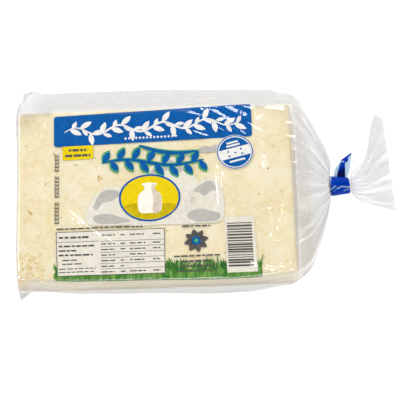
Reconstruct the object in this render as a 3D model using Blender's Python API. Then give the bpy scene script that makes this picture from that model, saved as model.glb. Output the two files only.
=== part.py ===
"""Queso duro: a slab of hard white cheese, lying flat in a clear film bag.

The bag is a flat tube of film, sealed at the left end. Its mouth is gathered at the right
and held by a turn of blue tape, and fans out beyond it. The bag is modelled as the solid
that film and cheese fill together. Lengths are in metres, +Z is up, and the origin lies
on the ground below the middle of the slab.
"""

import math

import bmesh
import bpy
import numpy as np
from mathutils import Vector

MM = 0.001

# The slab of cheese, with the film lying close on it
SLAB_WIDTH = 100 * MM
SLAB_HEIGHT = 20.5 * MM
FILM_STANDOFF = 0.4 * MM
EDGE_ROUNDING = 1.6 * MM

# The film's folds along both long sides: (x, how far the fold stands out from the slab's
# width), and for the near fold (x, how high it lies), in millimetres. The far fold lies as
# high as the seal.
FAR_FOLD = ((-77.3, 16.3), (-50.0, 16.5), (-8.0, 16.4), (45.0, 14.6), (64.0, 13.9), (73.0, 11.4))
NEAR_FOLD = ((-77.3, -1.3), (-67.0, -1.2), (-40.0, 1.6), (-15.0, 2.6), (35.0, 4.6), (73.0, 0.4))
NEAR_HEIGHT = ((-77.3, 9.5), (-66.0, 3.0), (60.0, 3.0), (73.0, 4.0))
# The slab's near side bulges too: the share of the near fold that its two edges stand out
BULGE_TOP = 0.35
BULGE_FOOT = 0.75

# The sealed left end, whose two corners stand out as ears
SEAL_X = -77.3 * MM
SEAL_Z = 9.5 * MM
SLAB_END_X = -74.6 * MM
END_POWER = 2.6
NEAR_EAR = 11.2 * MM
NEAR_EAR_FADE = 9 * MM
NEAR_EAR_ROUNDING = 2.7 * MM
NEAR_EAR_LENGTH = 30 * MM
FAR_EAR = 1.8 * MM
FAR_EAR_X = -69.5 * MM
FAR_EAR_REACH = 7 * MM
FAR_EAR_ROUNDING = 9 * MM
SWAY = 1.3 * MM
SWAY_Y = 46 * MM
SWAY_REACH = 20 * MM

# The gather, from the slab's right end to the neck: its outline on the far and the near side,
# in equal steps, in millimetres. It bulges past the start of the neck on its far side.
GATHER_X = 73.0 * MM
GATHER_FAR_EDGE = (
    (73.0, 61.4),
    (79.2, 58.8),
    (84.3, 52.7),
    (88.6, 43.7),
    (92.5, 33.6),
    (95.6, 25.5),
    (97.3, 18.0),
    (96.9, 12.0),
    (95.9, 7.9),
)
GATHER_NEAR_EDGE = (
    (73.0, -50.4),
    (78.4, -46.9),
    (84.1, -41.6),
    (88.3, -32.7),
    (91.6, -23.8),
    (94.0, -15.8),
    (95.4, -10.0),
    (96.1, -5.5),
    (95.9, -1.9),
)
PLEATS = 16
PLEAT_DEPTH = 1.5 * MM
PLEAT_SOFTNESS = 1.5

# The neck and the tape round it
NECK_Y = 3.0 * MM
NECK_Z = 10.0 * MM
NECK_START_X = 95.9 * MM
NECK_END_X = 107.0 * MM
NECK_START_RADIUS = 4.9 * MM
NECK_END_RADIUS = 3.6 * MM
TAPE_CLEARANCE = 0.25 * MM
TAPE_THICKNESS = 0.55 * MM
TAPE_START_X = 96.4 * MM
TAPE_END_X = 106.8 * MM
TAPE_SIDES = 40

# The tape's free end, a fin that is folded along its middle
FIN_ROOT_X = (98.2 * MM, 106.6 * MM)
FIN_BOW = (Vector((101.4, 16.0, 12.2)) * MM, Vector((108.4, 15.6, 11.6)) * MM)
FIN_TIP = (Vector((108.9, 21.6, 13.6)) * MM, Vector((109.9, 22.2, 13.2)) * MM)
FIN_ROOT_FOLD = 0.8 * MM
FIN_FOLD = 1.5 * MM
FIN_THICKNESS = 0.5 * MM
FIN_STEPS = 14
FIN_ACROSS = 8

# The tail: the gathered mouth, fanning out between a far and a near edge, in millimetres
TAIL_FAR_EDGE = (
    (107.0, 6.6),
    (108.6, 11.3),
    (112.3, 13.6),
    (115.3, 16.4),
    (117.5, 20.8),
    (119.4, 26.6),
    (121.5, 33.0),
    (124.2, 39.0),
    (127.7, 44.2),
)
TAIL_NEAR_EDGE = (
    (107.0, -0.6),
    (108.9, -3.8),
    (111.6, -5.9),
    (114.8, -7.4),
    (118.0, -8.6),
    (121.3, -9.8),
    (124.8, -10.9),
    (128.2, -11.9),
    (131.6, -12.9),
)
TAIL_CORNER_CUT = 4.4 * MM
TAIL_CORNER_WIDTH = 0.04
TAIL_CORNER_START = 4
TAIL_FAR_LIFT = 3.0 * MM
TAIL_PLEATS = 4.5
TAIL_PLEAT_PHASE = 0.6
TAIL_PLEAT_DEPTH = 1.0 * MM
TAIL_PLEAT_FADE = 0.17
TAIL_MID_THICKNESS = 2.2 * MM
TAIL_OPEN_BY = 0.18

# How finely the film is divided, along the bag and round each half of it
SIDE_STEPS = 7
ARC_STEPS = 3
TOP_STEPS = 28
HALF_STEPS = 2 * SIDE_STEPS + 2 * ARC_STEPS + TOP_STEPS
LEFT_STEPS = 6
EAR_STEPS = 6
EAR_END_X = -59 * MM
SLAB_STEPS = 9
GATHER_STEPS = 16
NECK_STEPS = 3
TAIL_STEPS = 10
WELD = 0.001 * MM


def blend(a, b, share):
    return a + (b - a) * share


def ease(share):
    """0 to 1 with a level start and end."""
    share = min(max(share, 0.0), 1.0)
    return share * share * (3 - 2 * share)


def bump(value, centre, reach):
    """1 at the centre, falling smoothly to 0 one reach away."""
    return 1 - ease(abs(value - centre) / reach)


def along_bag(table, x):
    """The value at x, eased between the rows (x, value) of a table in millimetres."""
    places, values = zip(*table)
    row = float(np.interp(x / MM, places, range(len(places))))
    index = min(int(row), len(places) - 2)
    return blend(values[index], values[index + 1], ease(row - index)) * MM


def arc_point(start, corner, end, share):
    """A point on the curve from start to end that bends towards the corner."""
    return blend(blend(start, corner, share), blend(corner, end, share), share)


def half_section(fold_far, far, near, fold_near, share):
    """A point (y, z) of the film's upper or lower half, from the far fold to the near one.

    The half runs along the slack far side, round the slab's far edge, across the slab,
    and round its near edge to the near fold. share goes from 0 to 1 in HALF_STEPS steps.
    """
    far_start = far + (fold_far - far).normalized() * EDGE_ROUNDING
    far_end = far - Vector((EDGE_ROUNDING, 0))
    near_start = near + Vector((EDGE_ROUNDING, 0))
    near_end = near + (fold_near - near).normalized() * EDGE_ROUNDING
    legs = (
        (SIDE_STEPS, fold_far, blend(fold_far, far_start, 0.5), far_start),
        (ARC_STEPS, far_start, far, far_end),
        (TOP_STEPS, far_end, blend(far_end, near_start, 0.5), near_start),
        (ARC_STEPS, near_start, near, near_end),
        (SIDE_STEPS, near_end, blend(near_end, fold_near, 0.5), fold_near),
    )
    step = share * HALF_STEPS
    for steps, start, corner, end in legs:
        if step <= steps:
            return arc_point(start, corner, end, step / steps)
        step -= steps
    return fold_near


def slab_section(x, fullness, share, upper):
    """A point (y, z) of the film round the slab at x. fullness is 0 at the flat seal."""
    near_ear = NEAR_EAR * max(0.0, 1 - max(0.0, x - SEAL_X) / NEAR_EAR_FADE)
    far_ear = FAR_EAR * bump(x, FAR_EAR_X, FAR_EAR_REACH)
    near_reach = along_bag(NEAR_FOLD, x)
    bulge = near_reach * blend(BULGE_TOP, BULGE_TOP if upper else BULGE_FOOT, fullness)
    edge_z = blend(SEAL_Z, SLAB_HEIGHT + FILM_STANDOFF if upper else 0.0, fullness)
    near_z = blend(SEAL_Z, along_bag(NEAR_HEIGHT, x), fullness)
    stand = SLAB_WIDTH / 2 + FILM_STANDOFF
    return half_section(
        Vector((SLAB_WIDTH / 2 + along_bag(FAR_FOLD, x) + far_ear, SEAL_Z)),
        Vector((stand, edge_z)),
        Vector((-stand - bulge, edge_z)),
        Vector((-SLAB_WIDTH / 2 - near_reach - near_ear, near_z)),
        share,
    )


def left_end(progress, share, upper):
    """From the seal, progress 0, over the slab's left edge, progress 1."""
    fullness = math.sin(progress * math.pi / 2) ** (2 / END_POWER)
    along = 1 - math.cos(progress * math.pi / 2) ** (2 / END_POWER)
    y = slab_section(SEAL_X, fullness, share, upper).x
    far_gap = slab_section(SEAL_X, fullness, 0, upper).x - y
    near_gap = y - slab_section(SEAL_X, fullness, 1, upper).x
    rounding = FAR_EAR_ROUNDING * max(0.0, 1 - far_gap / FAR_EAR_ROUNDING) ** 2
    rounding += NEAR_EAR_ROUNDING * max(0.0, 1 - near_gap / NEAR_EAR_LENGTH) ** 2
    sway = SWAY * bump(y, SWAY_Y, SWAY_REACH)
    x = blend(SEAL_X + rounding - sway, SLAB_END_X, along)
    return Vector((x, *slab_section(x, fullness, share, upper)))


def neck_angle(share, upper):
    return math.pi * share if upper else -math.pi * share


def neck_ring(x, share, upper):
    """A point of the round neck at x, where the film is held by the tape."""
    along = (x - NECK_START_X) / (NECK_END_X - NECK_START_X)
    radius = blend(NECK_START_RADIUS, NECK_END_RADIUS, along)
    angle = neck_angle(share, upper)
    return Vector((x, NECK_Y + radius * math.cos(angle), NECK_Z + radius * math.sin(angle)))


def width_left(y, side, upper):
    """How far the gather's outline at y still is from the neck: 1 at the slab, 0 at the neck."""
    ring_y = neck_ring(NECK_START_X, side, upper).y
    return (y - ring_y) / (slab_section(GATHER_X, 1.0, side, upper).x - ring_y)


def smooth_edge(points, share):
    """A point (x, y) on a smooth curve through the given points, in metres."""
    position = min(share, 1 - WELD) * (len(points) - 1)
    index = int(position)
    t = position - index
    ends = [Vector(points[min(max(index + k, 0), len(points) - 1)]) for k in (-1, 0, 1, 2)]
    before, start, end, after = ends
    start_slope = (end - before) / 2
    end_slope = (after - start) / 2
    straight = blend(start, end, ease(t))
    bent = (t**3 - 2 * t**2 + t) * start_slope + (t**3 - t**2) * end_slope
    return (straight + bent) * MM


def gather(progress, share, upper):
    """From the slab's right end, progress 0, to the neck, progress 1, in pleats."""
    edge_far = smooth_edge(GATHER_FAR_EDGE, progress)
    edge_near = smooth_edge(GATHER_NEAR_EDGE, progress)
    width_far = width_left(edge_far.y, 0, upper)
    width_near = width_left(edge_near.y, 1, upper)
    width = blend(width_far, width_near, ease(share))
    x = blend(edge_far.x, edge_near.x, ease(2 * share))
    ring = neck_ring(NECK_START_X, share, upper)
    outer = slab_section(GATHER_X, 1.0, share, upper)
    point = Vector((x, blend(ring.y, outer.x, width), blend(ring.z, outer.y, width)))
    depth = PLEAT_DEPTH * math.sin(progress * math.pi) ** PLEAT_SOFTNESS
    fold = 0.5 - 0.5 * math.cos(PLEATS * neck_angle(share, upper))
    inward = Vector((0, NECK_Y - point.y, NECK_Z - point.z)).normalized()
    return point + inward * depth * fold


def tail(progress, share, upper):
    """From the neck, progress 0, to the flat mouth, progress 1, in deepening pleats."""
    ring = neck_ring(NECK_END_X, share, upper)
    across = blend(0.5 - 0.5 * math.cos(math.pi * share), share, progress)
    edge_far = smooth_edge(TAIL_FAR_EDGE, progress)
    edge_near = smooth_edge(TAIL_NEAR_EDGE, progress)
    flat = blend(edge_far, edge_near, across)
    corner = progress**TAIL_CORNER_START * max(0.0, 1 - across / TAIL_CORNER_WIDTH)
    flat.x -= TAIL_CORNER_CUT * corner
    side = 0.5 if upper else -0.5
    thickness = TAIL_MID_THICKNESS * (1 - progress) * math.sin(math.pi * share)
    wave = math.sin(2 * math.pi * TAIL_PLEATS * across + TAIL_PLEAT_PHASE)
    fade = min(1.0, share / TAIL_PLEAT_FADE, (1 - share) / TAIL_PLEAT_FADE)
    lift = TAIL_FAR_LIFT * progress * (1 - across)
    pleat = TAIL_PLEAT_DEPTH * progress * wave * fade
    fan = Vector((flat.x, flat.y, NECK_Z + lift + pleat + side * thickness))
    gathered = Vector((flat.x, ring.y, ring.z))
    return blend(gathered, fan, ease(progress / TAIL_OPEN_BY))


def stations():
    """One function of (share, upper) for each ring of the bag, from seal to mouth."""
    rings = []
    for i in range(LEFT_STEPS + 1):
        rings.append(lambda s, u, p=i / LEFT_STEPS: left_end(p, s, u))
    for i in range(1, EAR_STEPS + 1):
        x = blend(SLAB_END_X, EAR_END_X, i / EAR_STEPS)
        rings.append(lambda s, u, x=x: Vector((x, *slab_section(x, 1.0, s, u))))
    for i in range(1, SLAB_STEPS + 1):
        x = blend(EAR_END_X, GATHER_X, i / SLAB_STEPS)
        rings.append(lambda s, u, x=x: Vector((x, *slab_section(x, 1.0, s, u))))
    for i in range(1, GATHER_STEPS + 1):
        rings.append(lambda s, u, p=i / GATHER_STEPS: gather(p, s, u))
    for i in range(1, NECK_STEPS + 1):
        x = blend(NECK_START_X, NECK_END_X, i / NECK_STEPS)
        rings.append(lambda s, u, x=x: neck_ring(x, s, u))
    for i in range(1, TAIL_STEPS + 1):
        rings.append(lambda s, u, p=i / TAIL_STEPS: tail(p, s, u))
    return rings


def add_object(name, mesh_maker, material):
    mesh = bpy.data.meshes.new(name)
    bm = bmesh.new()
    mesh_maker(bm)
    bm.to_mesh(mesh)
    bm.free()
    mesh.materials.append(material)
    mesh.shade_smooth()
    obj = bpy.data.objects.new(name, mesh)
    bpy.context.scene.collection.objects.link(obj)
    return obj


def add_material(name, colour, roughness):
    material = bpy.data.materials.new(name)
    material.use_nodes = True
    shader = material.node_tree.nodes["Principled BSDF"]
    shader.inputs["Base Color"].default_value = (*colour, 1.0)
    shader.inputs["Roughness"].default_value = roughness
    material.diffuse_color = (*colour, 1.0)
    return material


def wrap_bag(bm):
    """A flat sheet of film, wrapped round the stations and joined along its long edge."""
    rings = stations()
    around = 2 * HALF_STEPS
    bmesh.ops.create_grid(bm, x_segments=len(rings) - 1, y_segments=around, size=0.5)
    for vert in bm.verts:
        ring = rings[round((vert.co.x + 0.5) * (len(rings) - 1))]
        turn = round((vert.co.y + 0.5) * around)
        upper = turn <= HALF_STEPS
        share = turn / HALF_STEPS if upper else 2 - turn / HALF_STEPS
        vert.co = ring(share, upper)
    bmesh.ops.remove_doubles(bm, verts=bm.verts, dist=WELD)
    bmesh.ops.triangulate(bm, faces=bm.faces)
    bmesh.ops.recalc_face_normals(bm, faces=bm.faces)


def spin_band(bm):
    """The turn of tape round the neck: a thin profile spun about the neck's axis."""
    inner_start = NECK_START_RADIUS + TAPE_CLEARANCE
    inner_end = NECK_END_RADIUS + TAPE_CLEARANCE
    profile = (
        (TAPE_START_X, inner_start),
        (TAPE_END_X, inner_end),
        (TAPE_END_X, inner_end + TAPE_THICKNESS),
        (TAPE_START_X, inner_start + TAPE_THICKNESS),
    )
    verts = [bm.verts.new((x, NECK_Y, NECK_Z + radius)) for x, radius in profile]
    edges = [bm.edges.new((verts[i - 1], verts[i])) for i in range(len(verts))]
    bmesh.ops.spin(
        bm,
        geom=verts + edges,
        cent=(0, NECK_Y, NECK_Z),
        axis=(1, 0, 0),
        angle=2 * math.pi,
        steps=TAPE_SIDES,
        use_merge=True,
    )
    bmesh.ops.recalc_face_normals(bm, faces=bm.faces)


def fin_root(across):
    """A point in the middle of the band's wall, on its far side, where the fin starts."""
    x = blend(*FIN_ROOT_X, across)
    along = (x - NECK_START_X) / (NECK_END_X - NECK_START_X)
    radius = blend(NECK_START_RADIUS, NECK_END_RADIUS, along)
    radius += TAPE_CLEARANCE + TAPE_THICKNESS / 2
    rise = FIN_ROOT_FOLD * (1 - abs(2 * across - 1))
    return Vector((x, NECK_Y + math.sqrt(radius**2 - rise**2), NECK_Z + rise))


def fin_point(along, across):
    """A point of the tape's free end, bowed from root to tip and folded along its middle."""
    point = arc_point(fin_root(across), blend(*FIN_BOW, across), blend(*FIN_TIP, across), along)
    ridge = 1 - abs(2 * across - 1)
    point.z += FIN_FOLD * ridge * math.sin(math.pi * along)
    return point


def curve_fin(bm):
    """The fin as a sheet with its two faces FIN_THICKNESS apart."""
    bmesh.ops.create_grid(bm, x_segments=FIN_STEPS, y_segments=FIN_ACROSS, size=0.5)
    for vert in bm.verts:
        vert.co = fin_point(vert.co.x + 0.5, vert.co.y + 0.5)
    bmesh.ops.recalc_face_normals(bm, faces=bm.faces)
    bmesh.ops.solidify(bm, geom=bm.faces[:], thickness=FIN_THICKNESS)
    bmesh.ops.recalc_face_normals(bm, faces=bm.faces)


def join_fin(band, fin):
    """One Boolean union makes the band and its free end a single piece of tape."""
    union = band.modifiers.new("free end", "BOOLEAN")
    union.operation = "UNION"
    union.solver = "EXACT"
    union.object = fin
    fin.hide_render = True
    fin.display_type = "WIRE"


def clear_scene():
    for obj in list(bpy.data.objects):
        bpy.data.objects.remove(obj)


def main():
    clear_scene()
    film = add_material("cheese in clear film", (0.86, 0.76, 0.55), 0.25)
    tape = add_material("blue sealing tape", (0.01, 0.06, 0.42), 0.25)
    add_object("bag", wrap_bag, film)
    band = add_object("tie", spin_band, tape)
    fin = add_object("free_end", curve_fin, tape)
    join_fin(band, fin)


main()
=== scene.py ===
# %% [markdown]
# # Queso duro in a clear film bag
# A flat slab of hard white cheese lies in a bag of clear film. The bag is sealed at its left
# end. At the right its mouth is gathered, held by a turn of blue tape, and fans out.
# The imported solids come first, as a frame that stays as it is. The solid `bag` is film and
# cheese together, so it is replaced here by a slab, a thin film round it and the print on
# that film. The solid `tie` is replaced by wound tape with a folded free end.

# %% The fixed frame
import math

import bmesh
import bpy
import numpy as np
from mathutils import Matrix, Vector, noise


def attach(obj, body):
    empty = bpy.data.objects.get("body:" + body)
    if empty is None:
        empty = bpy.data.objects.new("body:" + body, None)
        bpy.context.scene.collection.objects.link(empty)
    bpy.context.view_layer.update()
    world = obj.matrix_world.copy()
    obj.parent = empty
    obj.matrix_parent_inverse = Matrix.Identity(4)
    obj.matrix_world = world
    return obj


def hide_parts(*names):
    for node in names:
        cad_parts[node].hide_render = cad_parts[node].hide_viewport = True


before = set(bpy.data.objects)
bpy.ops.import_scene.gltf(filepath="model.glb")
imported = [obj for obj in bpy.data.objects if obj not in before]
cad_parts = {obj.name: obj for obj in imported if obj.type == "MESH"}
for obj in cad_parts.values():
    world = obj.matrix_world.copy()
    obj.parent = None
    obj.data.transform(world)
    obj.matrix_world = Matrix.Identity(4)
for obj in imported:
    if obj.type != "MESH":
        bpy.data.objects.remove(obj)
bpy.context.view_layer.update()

MM = 0.001

# %% [markdown]
# ## Camera
# The pack lies flat and is seen from well above, with its long side level. The camera's
# place was worked out from the slab's four corners. The far side is up in the picture, so
# the camera's axes are built from the direction +Y, with a small roll.

# %% Camera
CAMERA_PLACE = Vector((0.036294, -0.334949, 0.846469))
CAMERA_AIM = Vector((0.0241, -0.0024, 0.01025))
CAMERA_ROLL = math.radians(-1.85)
CAMERA_LENS = 146.475

back = (CAMERA_PLACE - CAMERA_AIM).normalized()
right = Vector((0, 1, 0)).cross(back).normalized()
axes = Matrix((right, back.cross(right), back)).transposed()
camera = bpy.data.objects.new("camera", bpy.data.cameras.new("camera"))
camera.data.lens = CAMERA_LENS
camera.matrix_world = (
    Matrix.Translation(CAMERA_PLACE) @ axes.to_4x4() @ Matrix.Rotation(CAMERA_ROLL, 4, "Z")
)
bpy.context.scene.collection.objects.link(camera)
bpy.context.scene.camera = camera
print("camera", round((CAMERA_PLACE - CAMERA_AIM).length, 3), "m away")

# %% [markdown]
# ## Colours, nodes and pieces
# A few helpers serve every step below. Colours are written as sRGB hex values, as a paint
# chart gives them, and turned to linear light. A node is added with its settings and its
# inputs in one call. A finished bmesh becomes a piece that rides on the pack's one body.

# %% Helpers
def linear(hex_colour):
    """An sRGB hex colour as linear red, green, blue and alpha."""
    parts = [int(hex_colour[i : i + 2], 16) / 255 for i in (1, 3, 5)]
    return (*[c / 12.92 if c <= 0.04045 else ((c + 0.055) / 1.055) ** 2.4 for c in parts], 1.0)


def add_node(tree, kind, inputs=None, **settings):
    """Adds a node. Each input gets a plain value, an output, or a node's first output."""
    node = tree.nodes.new("ShaderNode" + kind)
    for name, value in settings.items():
        setattr(node, name, value)
    for name, value in (inputs or {}).items():
        if isinstance(value, bpy.types.Node):
            value = value.outputs[0]
        if isinstance(value, bpy.types.NodeSocket):
            tree.links.new(value, node.inputs[name])
        else:
            node.inputs[name].default_value = value
    return node


def start_material(name):
    """A new material's empty node tree, with its output node."""
    material = bpy.data.materials.new(name)
    material.use_nodes = True
    tree = material.node_tree
    tree.nodes.clear()
    return material, tree, tree.nodes.new("ShaderNodeOutputMaterial")


def make_object(name, bm, material):
    """A bmesh becomes an object of one material in the scene."""
    mesh = bpy.data.meshes.new(name)
    bm.to_mesh(mesh)
    bm.free()
    mesh.materials.append(material)
    made = bpy.data.objects.new(name, mesh)
    bpy.context.scene.collection.objects.link(made)
    return made


def add_piece(name, bm, material):
    """A bmesh becomes a smooth piece of the pack, riding on its one body."""
    piece = make_object(name, bm, material)
    piece.data.shade_smooth()
    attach(piece, "root")
    print(name, len(piece.data.polygons), "faces")
    return piece


# %% [markdown]
# ## Studio
# A pack shot like this is made on a light table in a white tent that is open at the top, so
# its walls are bright and its top is dark. Flat film mirrors the dark top and looks clear,
# while a fold tilts towards the walls and shows pale. Three small bright lamps make the
# creases sparkle: they stand round the direction that flat film mirrors, so a crease that
# leans a few degrees towards one of them flashes. A broader lamp overhead lights the slab
# and the film's near edge. The table's opal sheet glows from below, so hardly any shadow
# shows on it.

# %% Floor, tent and lamps
FLOOR_SIZE, FLOOR_GLOW = 3.0, 0.8
# How bright the tent is, from the floor's level (0) to straight above (1)
TENT = ((0.0, 1.25), (0.30, 1.25), (0.60, 1.06), (0.78, 0.70), (0.88, 0.09), (1.0, 0.03))
AIM = Vector((0.02, 0.0, 0.01))
LAMP_DISTANCE = 1.1
# Name: direction from the pack, watts, size
LAMPS = {
    "far lamp": ((0.16, 0.62, 0.77), 2.1, 0.28),
    "far left lamp": ((-0.44, 0.56, 0.70), 1.2, 0.24),
    "left lamp": ((-0.46, 0.31, 0.83), 1.9, 0.28),
    "top lamp": ((0.05, -0.13, 1.00), 3.4, 0.50),
}

table_top, tree, output = start_material("lit opal acrylic sheet")
grain = add_node(tree, "TexNoise", {"Scale": 900.0, "Detail": 2.0})
shade = add_node(tree, "MixRGB", {
    "Fac": grain, "Color1": linear("#b3b3b3"), "Color2": linear("#b7b7b7")})
opal = add_node(tree, "BsdfDiffuse", {"Color": shade})
glow = add_node(tree, "Emission", {"Color": linear("#ffffff"), "Strength": FLOOR_GLOW})
lit = add_node(tree, "AddShader", {0: opal, 1: glow})
tree.links.new(lit.outputs["Shader"], output.inputs["Surface"])

floor_bm = bmesh.new()
bmesh.ops.create_grid(floor_bm, x_segments=1, y_segments=1, size=FLOOR_SIZE / 2)
floor = make_object("floor", floor_bm, table_top)

world = bpy.data.worlds.new("white tent")
world.use_nodes = True
tree = world.node_tree
direction = add_node(tree, "SeparateXYZ", {0: add_node(tree, "TexCoord").outputs["Generated"]})
brightness = add_node(tree, "FloatCurve", {"Value": direction.outputs["Z"]})
curve = brightness.mapping.curves[0]
for height, strength in TENT[1:-1]:
    curve.points.new(height, strength / 2)
curve.points[0].location, curve.points[-1].location = (0, TENT[0][1] / 2), (1, TENT[-1][1] / 2)
for point in curve.points:
    point.handle_type = "VECTOR"
brightness.mapping.update()
twice = add_node(tree, "Math", {0: brightness, 1: 2.0}, operation="MULTIPLY")
tree.nodes["Background"].inputs["Color"].default_value = linear("#fcfcff")
tree.links.new(twice.outputs["Value"], tree.nodes["Background"].inputs["Strength"])
bpy.context.scene.world = world

for name, (direction, watts, size) in LAMPS.items():
    lamp = bpy.data.lights.new(name, "AREA")
    lamp.size = size
    lamp.energy = watts
    holder = bpy.data.objects.new(name, lamp)
    holder.location = AIM + Vector(direction).normalized() * LAMP_DISTANCE
    holder.rotation_euler = Vector(direction).to_track_quat("Z", "Y").to_euler()
    bpy.context.scene.collection.objects.link(holder)
bpy.context.scene.view_settings.view_transform = "Standard"
bpy.context.scene.cycles.transparent_max_bounces = 32
print("lamps", len(LAMPS), "tent", TENT[0][1], "to", TENT[-1][1])

# %% [markdown]
# ## The bag's own form
# The film is one flat tube. Round the slab its section has an upper and a lower half that
# meet at a fold on each long side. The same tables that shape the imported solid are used
# here, with many more points, so that the thin film stays where the solid is.
# A section is drawn in five legs: a slack side, the slab's rounded far edge, the flat
# across the slab, its rounded near edge, and the near side.

# %% Sizes of the bag
SLAB_WIDTH = 100 * MM
FILM_TOP, FILM_LIMIT = 20.65 * MM, 21.4 * MM
FILM_FOOT = 0.06 * MM
NEAR_ROUNDING, FAR_FALL = 1.6 * MM, 0.6
# Along the bag: (x, how far the fold stands out from the slab's width), or its height, in mm
FAR_FOLD = ((-77.3, 16.3), (-50, 16.5), (-8, 16.4), (45, 14.6), (64, 13.9), (73, 11.4))
NEAR_FOLD = ((-77.3, -1.3), (-67, -1.2), (-40, 1.6), (-15, 2.6), (35, 4.6), (48, 4.2), (73, 0.4))
NEAR_HEIGHT = ((-77.3, 9.5), (-66, 3.0), (60, 3.0), (73, 4.0))
FAR_ROUNDING = ((-77.3, 4.0), (0, 4.0), (26, 1.8), (73, 1.8))
FILM_STANDOFF = 0.4 * MM
BULGE_TOP, BULGE_FOOT = 0.5, 0.75
SEAL_X, SEAL_Z, SLAB_END_X = -77.3 * MM, 9.5 * MM, -74.6 * MM
END_POWER = 2.6
NEAR_EAR, NEAR_EAR_FADE = 11.2 * MM, 9 * MM
NEAR_EAR_ROUNDING, NEAR_EAR_LENGTH = 2.7 * MM, 30 * MM
FAR_EAR, FAR_EAR_X, FAR_EAR_REACH, FAR_EAR_ROUNDING = 1.8 * MM, -69.5 * MM, 7 * MM, 9 * MM
SWAY, SWAY_Y, SWAY_REACH = 1.3 * MM, 46 * MM, 20 * MM
GATHER_X = 73 * MM
# The gather's outline (x, y) on the far and the near side, in equal steps, in mm
GATHER_FAR_EDGE = ((73, 61.4), (79.2, 58.8), (84.3, 52.7), (88.6, 43.7), (92.5, 33.6),
                   (95.6, 25.5), (97.3, 18.0), (96.9, 12.0), (95.9, 7.9))
GATHER_NEAR_EDGE = ((73, -50.4), (78.4, -46.9), (84.1, -41.6), (88.3, -32.7), (91.6, -23.8),
                    (94.0, -15.8), (95.4, -10.0), (96.1, -5.5), (95.9, -1.9))
PLEATS, PLEAT_DEPTH, PLEAT_SOFTNESS = 16, 1.5 * MM, 1.5
NECK_Y, NECK_Z = 3 * MM, 10 * MM
NECK_START_X, NECK_END_X = 95.9 * MM, 107 * MM
NECK_START_RADIUS, NECK_END_RADIUS = 4.9 * MM, 3.6 * MM
TAIL_FAR_EDGE = ((107, 6.6), (108.6, 11.3), (112.3, 13.6), (115.3, 16.4), (117.5, 20.8),
                 (119.4, 26.6), (121.5, 33.0), (124.2, 39.0), (127.7, 44.2))
TAIL_NEAR_EDGE = ((107, -0.6), (108.9, -3.8), (111.6, -5.9), (114.8, -7.4), (118.0, -8.6),
                  (121.3, -9.8), (124.8, -10.9), (128.2, -11.9), (131.6, -12.9))
TAIL_CORNER_CUT, TAIL_CORNER_WIDTH, TAIL_CORNER_START = 4.4 * MM, 0.04, 4
TAIL_FAR_LIFT, TAIL_PLEATS, TAIL_PLEAT_PHASE = 3 * MM, 4.5, 0.6
TAIL_PLEAT_DEPTH, TAIL_PLEAT_FADE = 0.3 * MM, 0.3
TAIL_MID_THICKNESS, TAIL_OPEN_BY = 1.5 * MM, 0.18
# Points along each leg of a section: side, rounded edge, flat
UPPER_STEPS = (26, 6, 140)
LOWER_STEPS = (18, 4, 34)


def blend(a, b, share):
    return a + (b - a) * share


def ease(share):
    """0 to 1 with a level start and end."""
    share = np.clip(share, 0.0, 1.0)
    return share * share * (3 - 2 * share)


def rises(value, start, reach):
    """0 up to the start, and 1 from one reach past it."""
    return ease((value - start) / reach)


def falls(value, end, reach):
    """1 up to one reach before the end, and 0 from the end on."""
    return ease((end - value) / reach)


def bump(value, centre, reach):
    """1 at the centre, falling smoothly to 0 one reach away."""
    return 1 - ease(abs(value - centre) / reach)


def between_rows(table, place):
    """The values at a place, eased between the rows (place in mm, value) of a table."""
    places, values = np.array(table).T
    row = np.interp(place / MM, places, np.arange(len(places)))
    index = np.minimum(row.astype(int), len(places) - 2)
    return blend(values[index], values[index + 1], ease(row - index))


def along_bag(table, x):
    """A length of the bag at x, from a table in millimetres."""
    return between_rows(table, x) * MM


def curve_through(before, start, end, after, t):
    """A point between start and end, on a smooth curve that goes on through their neighbours."""
    bent = (t**3 - 2 * t**2 + t) * (end - before) / 2 + (t**3 - t**2) * (after - start) / 2
    return blend(start, end, ease(t)) + bent


def near_edge(x):
    """Where the film turns down over the slab's near edge."""
    return -SLAB_WIDTH / 2 - FILM_STANDOFF - BULGE_TOP * along_bag(NEAR_FOLD, x)


print("film stands", round(FILM_TOP / MM, 2), "mm high, near edge", near_edge(np.array([0.0])))

# %% [markdown]
# ## Relief of the film
# Film that lies on a slab isn't flat. It has long soft waves, and short sharp creases where
# it was pressed together. Both are heights above the flat film. The print rides on the
# waves alone, and the creases stand above it, so no ink pokes through the film.

# %% Waves and creases
WAVE_SEED, WAVE_COUNT, WAVE_HEIGHT = 7, 14, 0.03 * MM
WAVE_LENGTHS = (15 * MM, 42 * MM)
CREASE_ENDS = 0.3
FOLD_COUNT, FOLD_START, FOLD_SPREAD = 500, -0.3, (0.35, 1.65)
MASK_SIDE_FADE, MASK_LEFT_FADE = 4 * MM, 5 * MM
MASK_END_X, MASK_RIGHT_FADE = 83 * MM, 10 * MM
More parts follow.
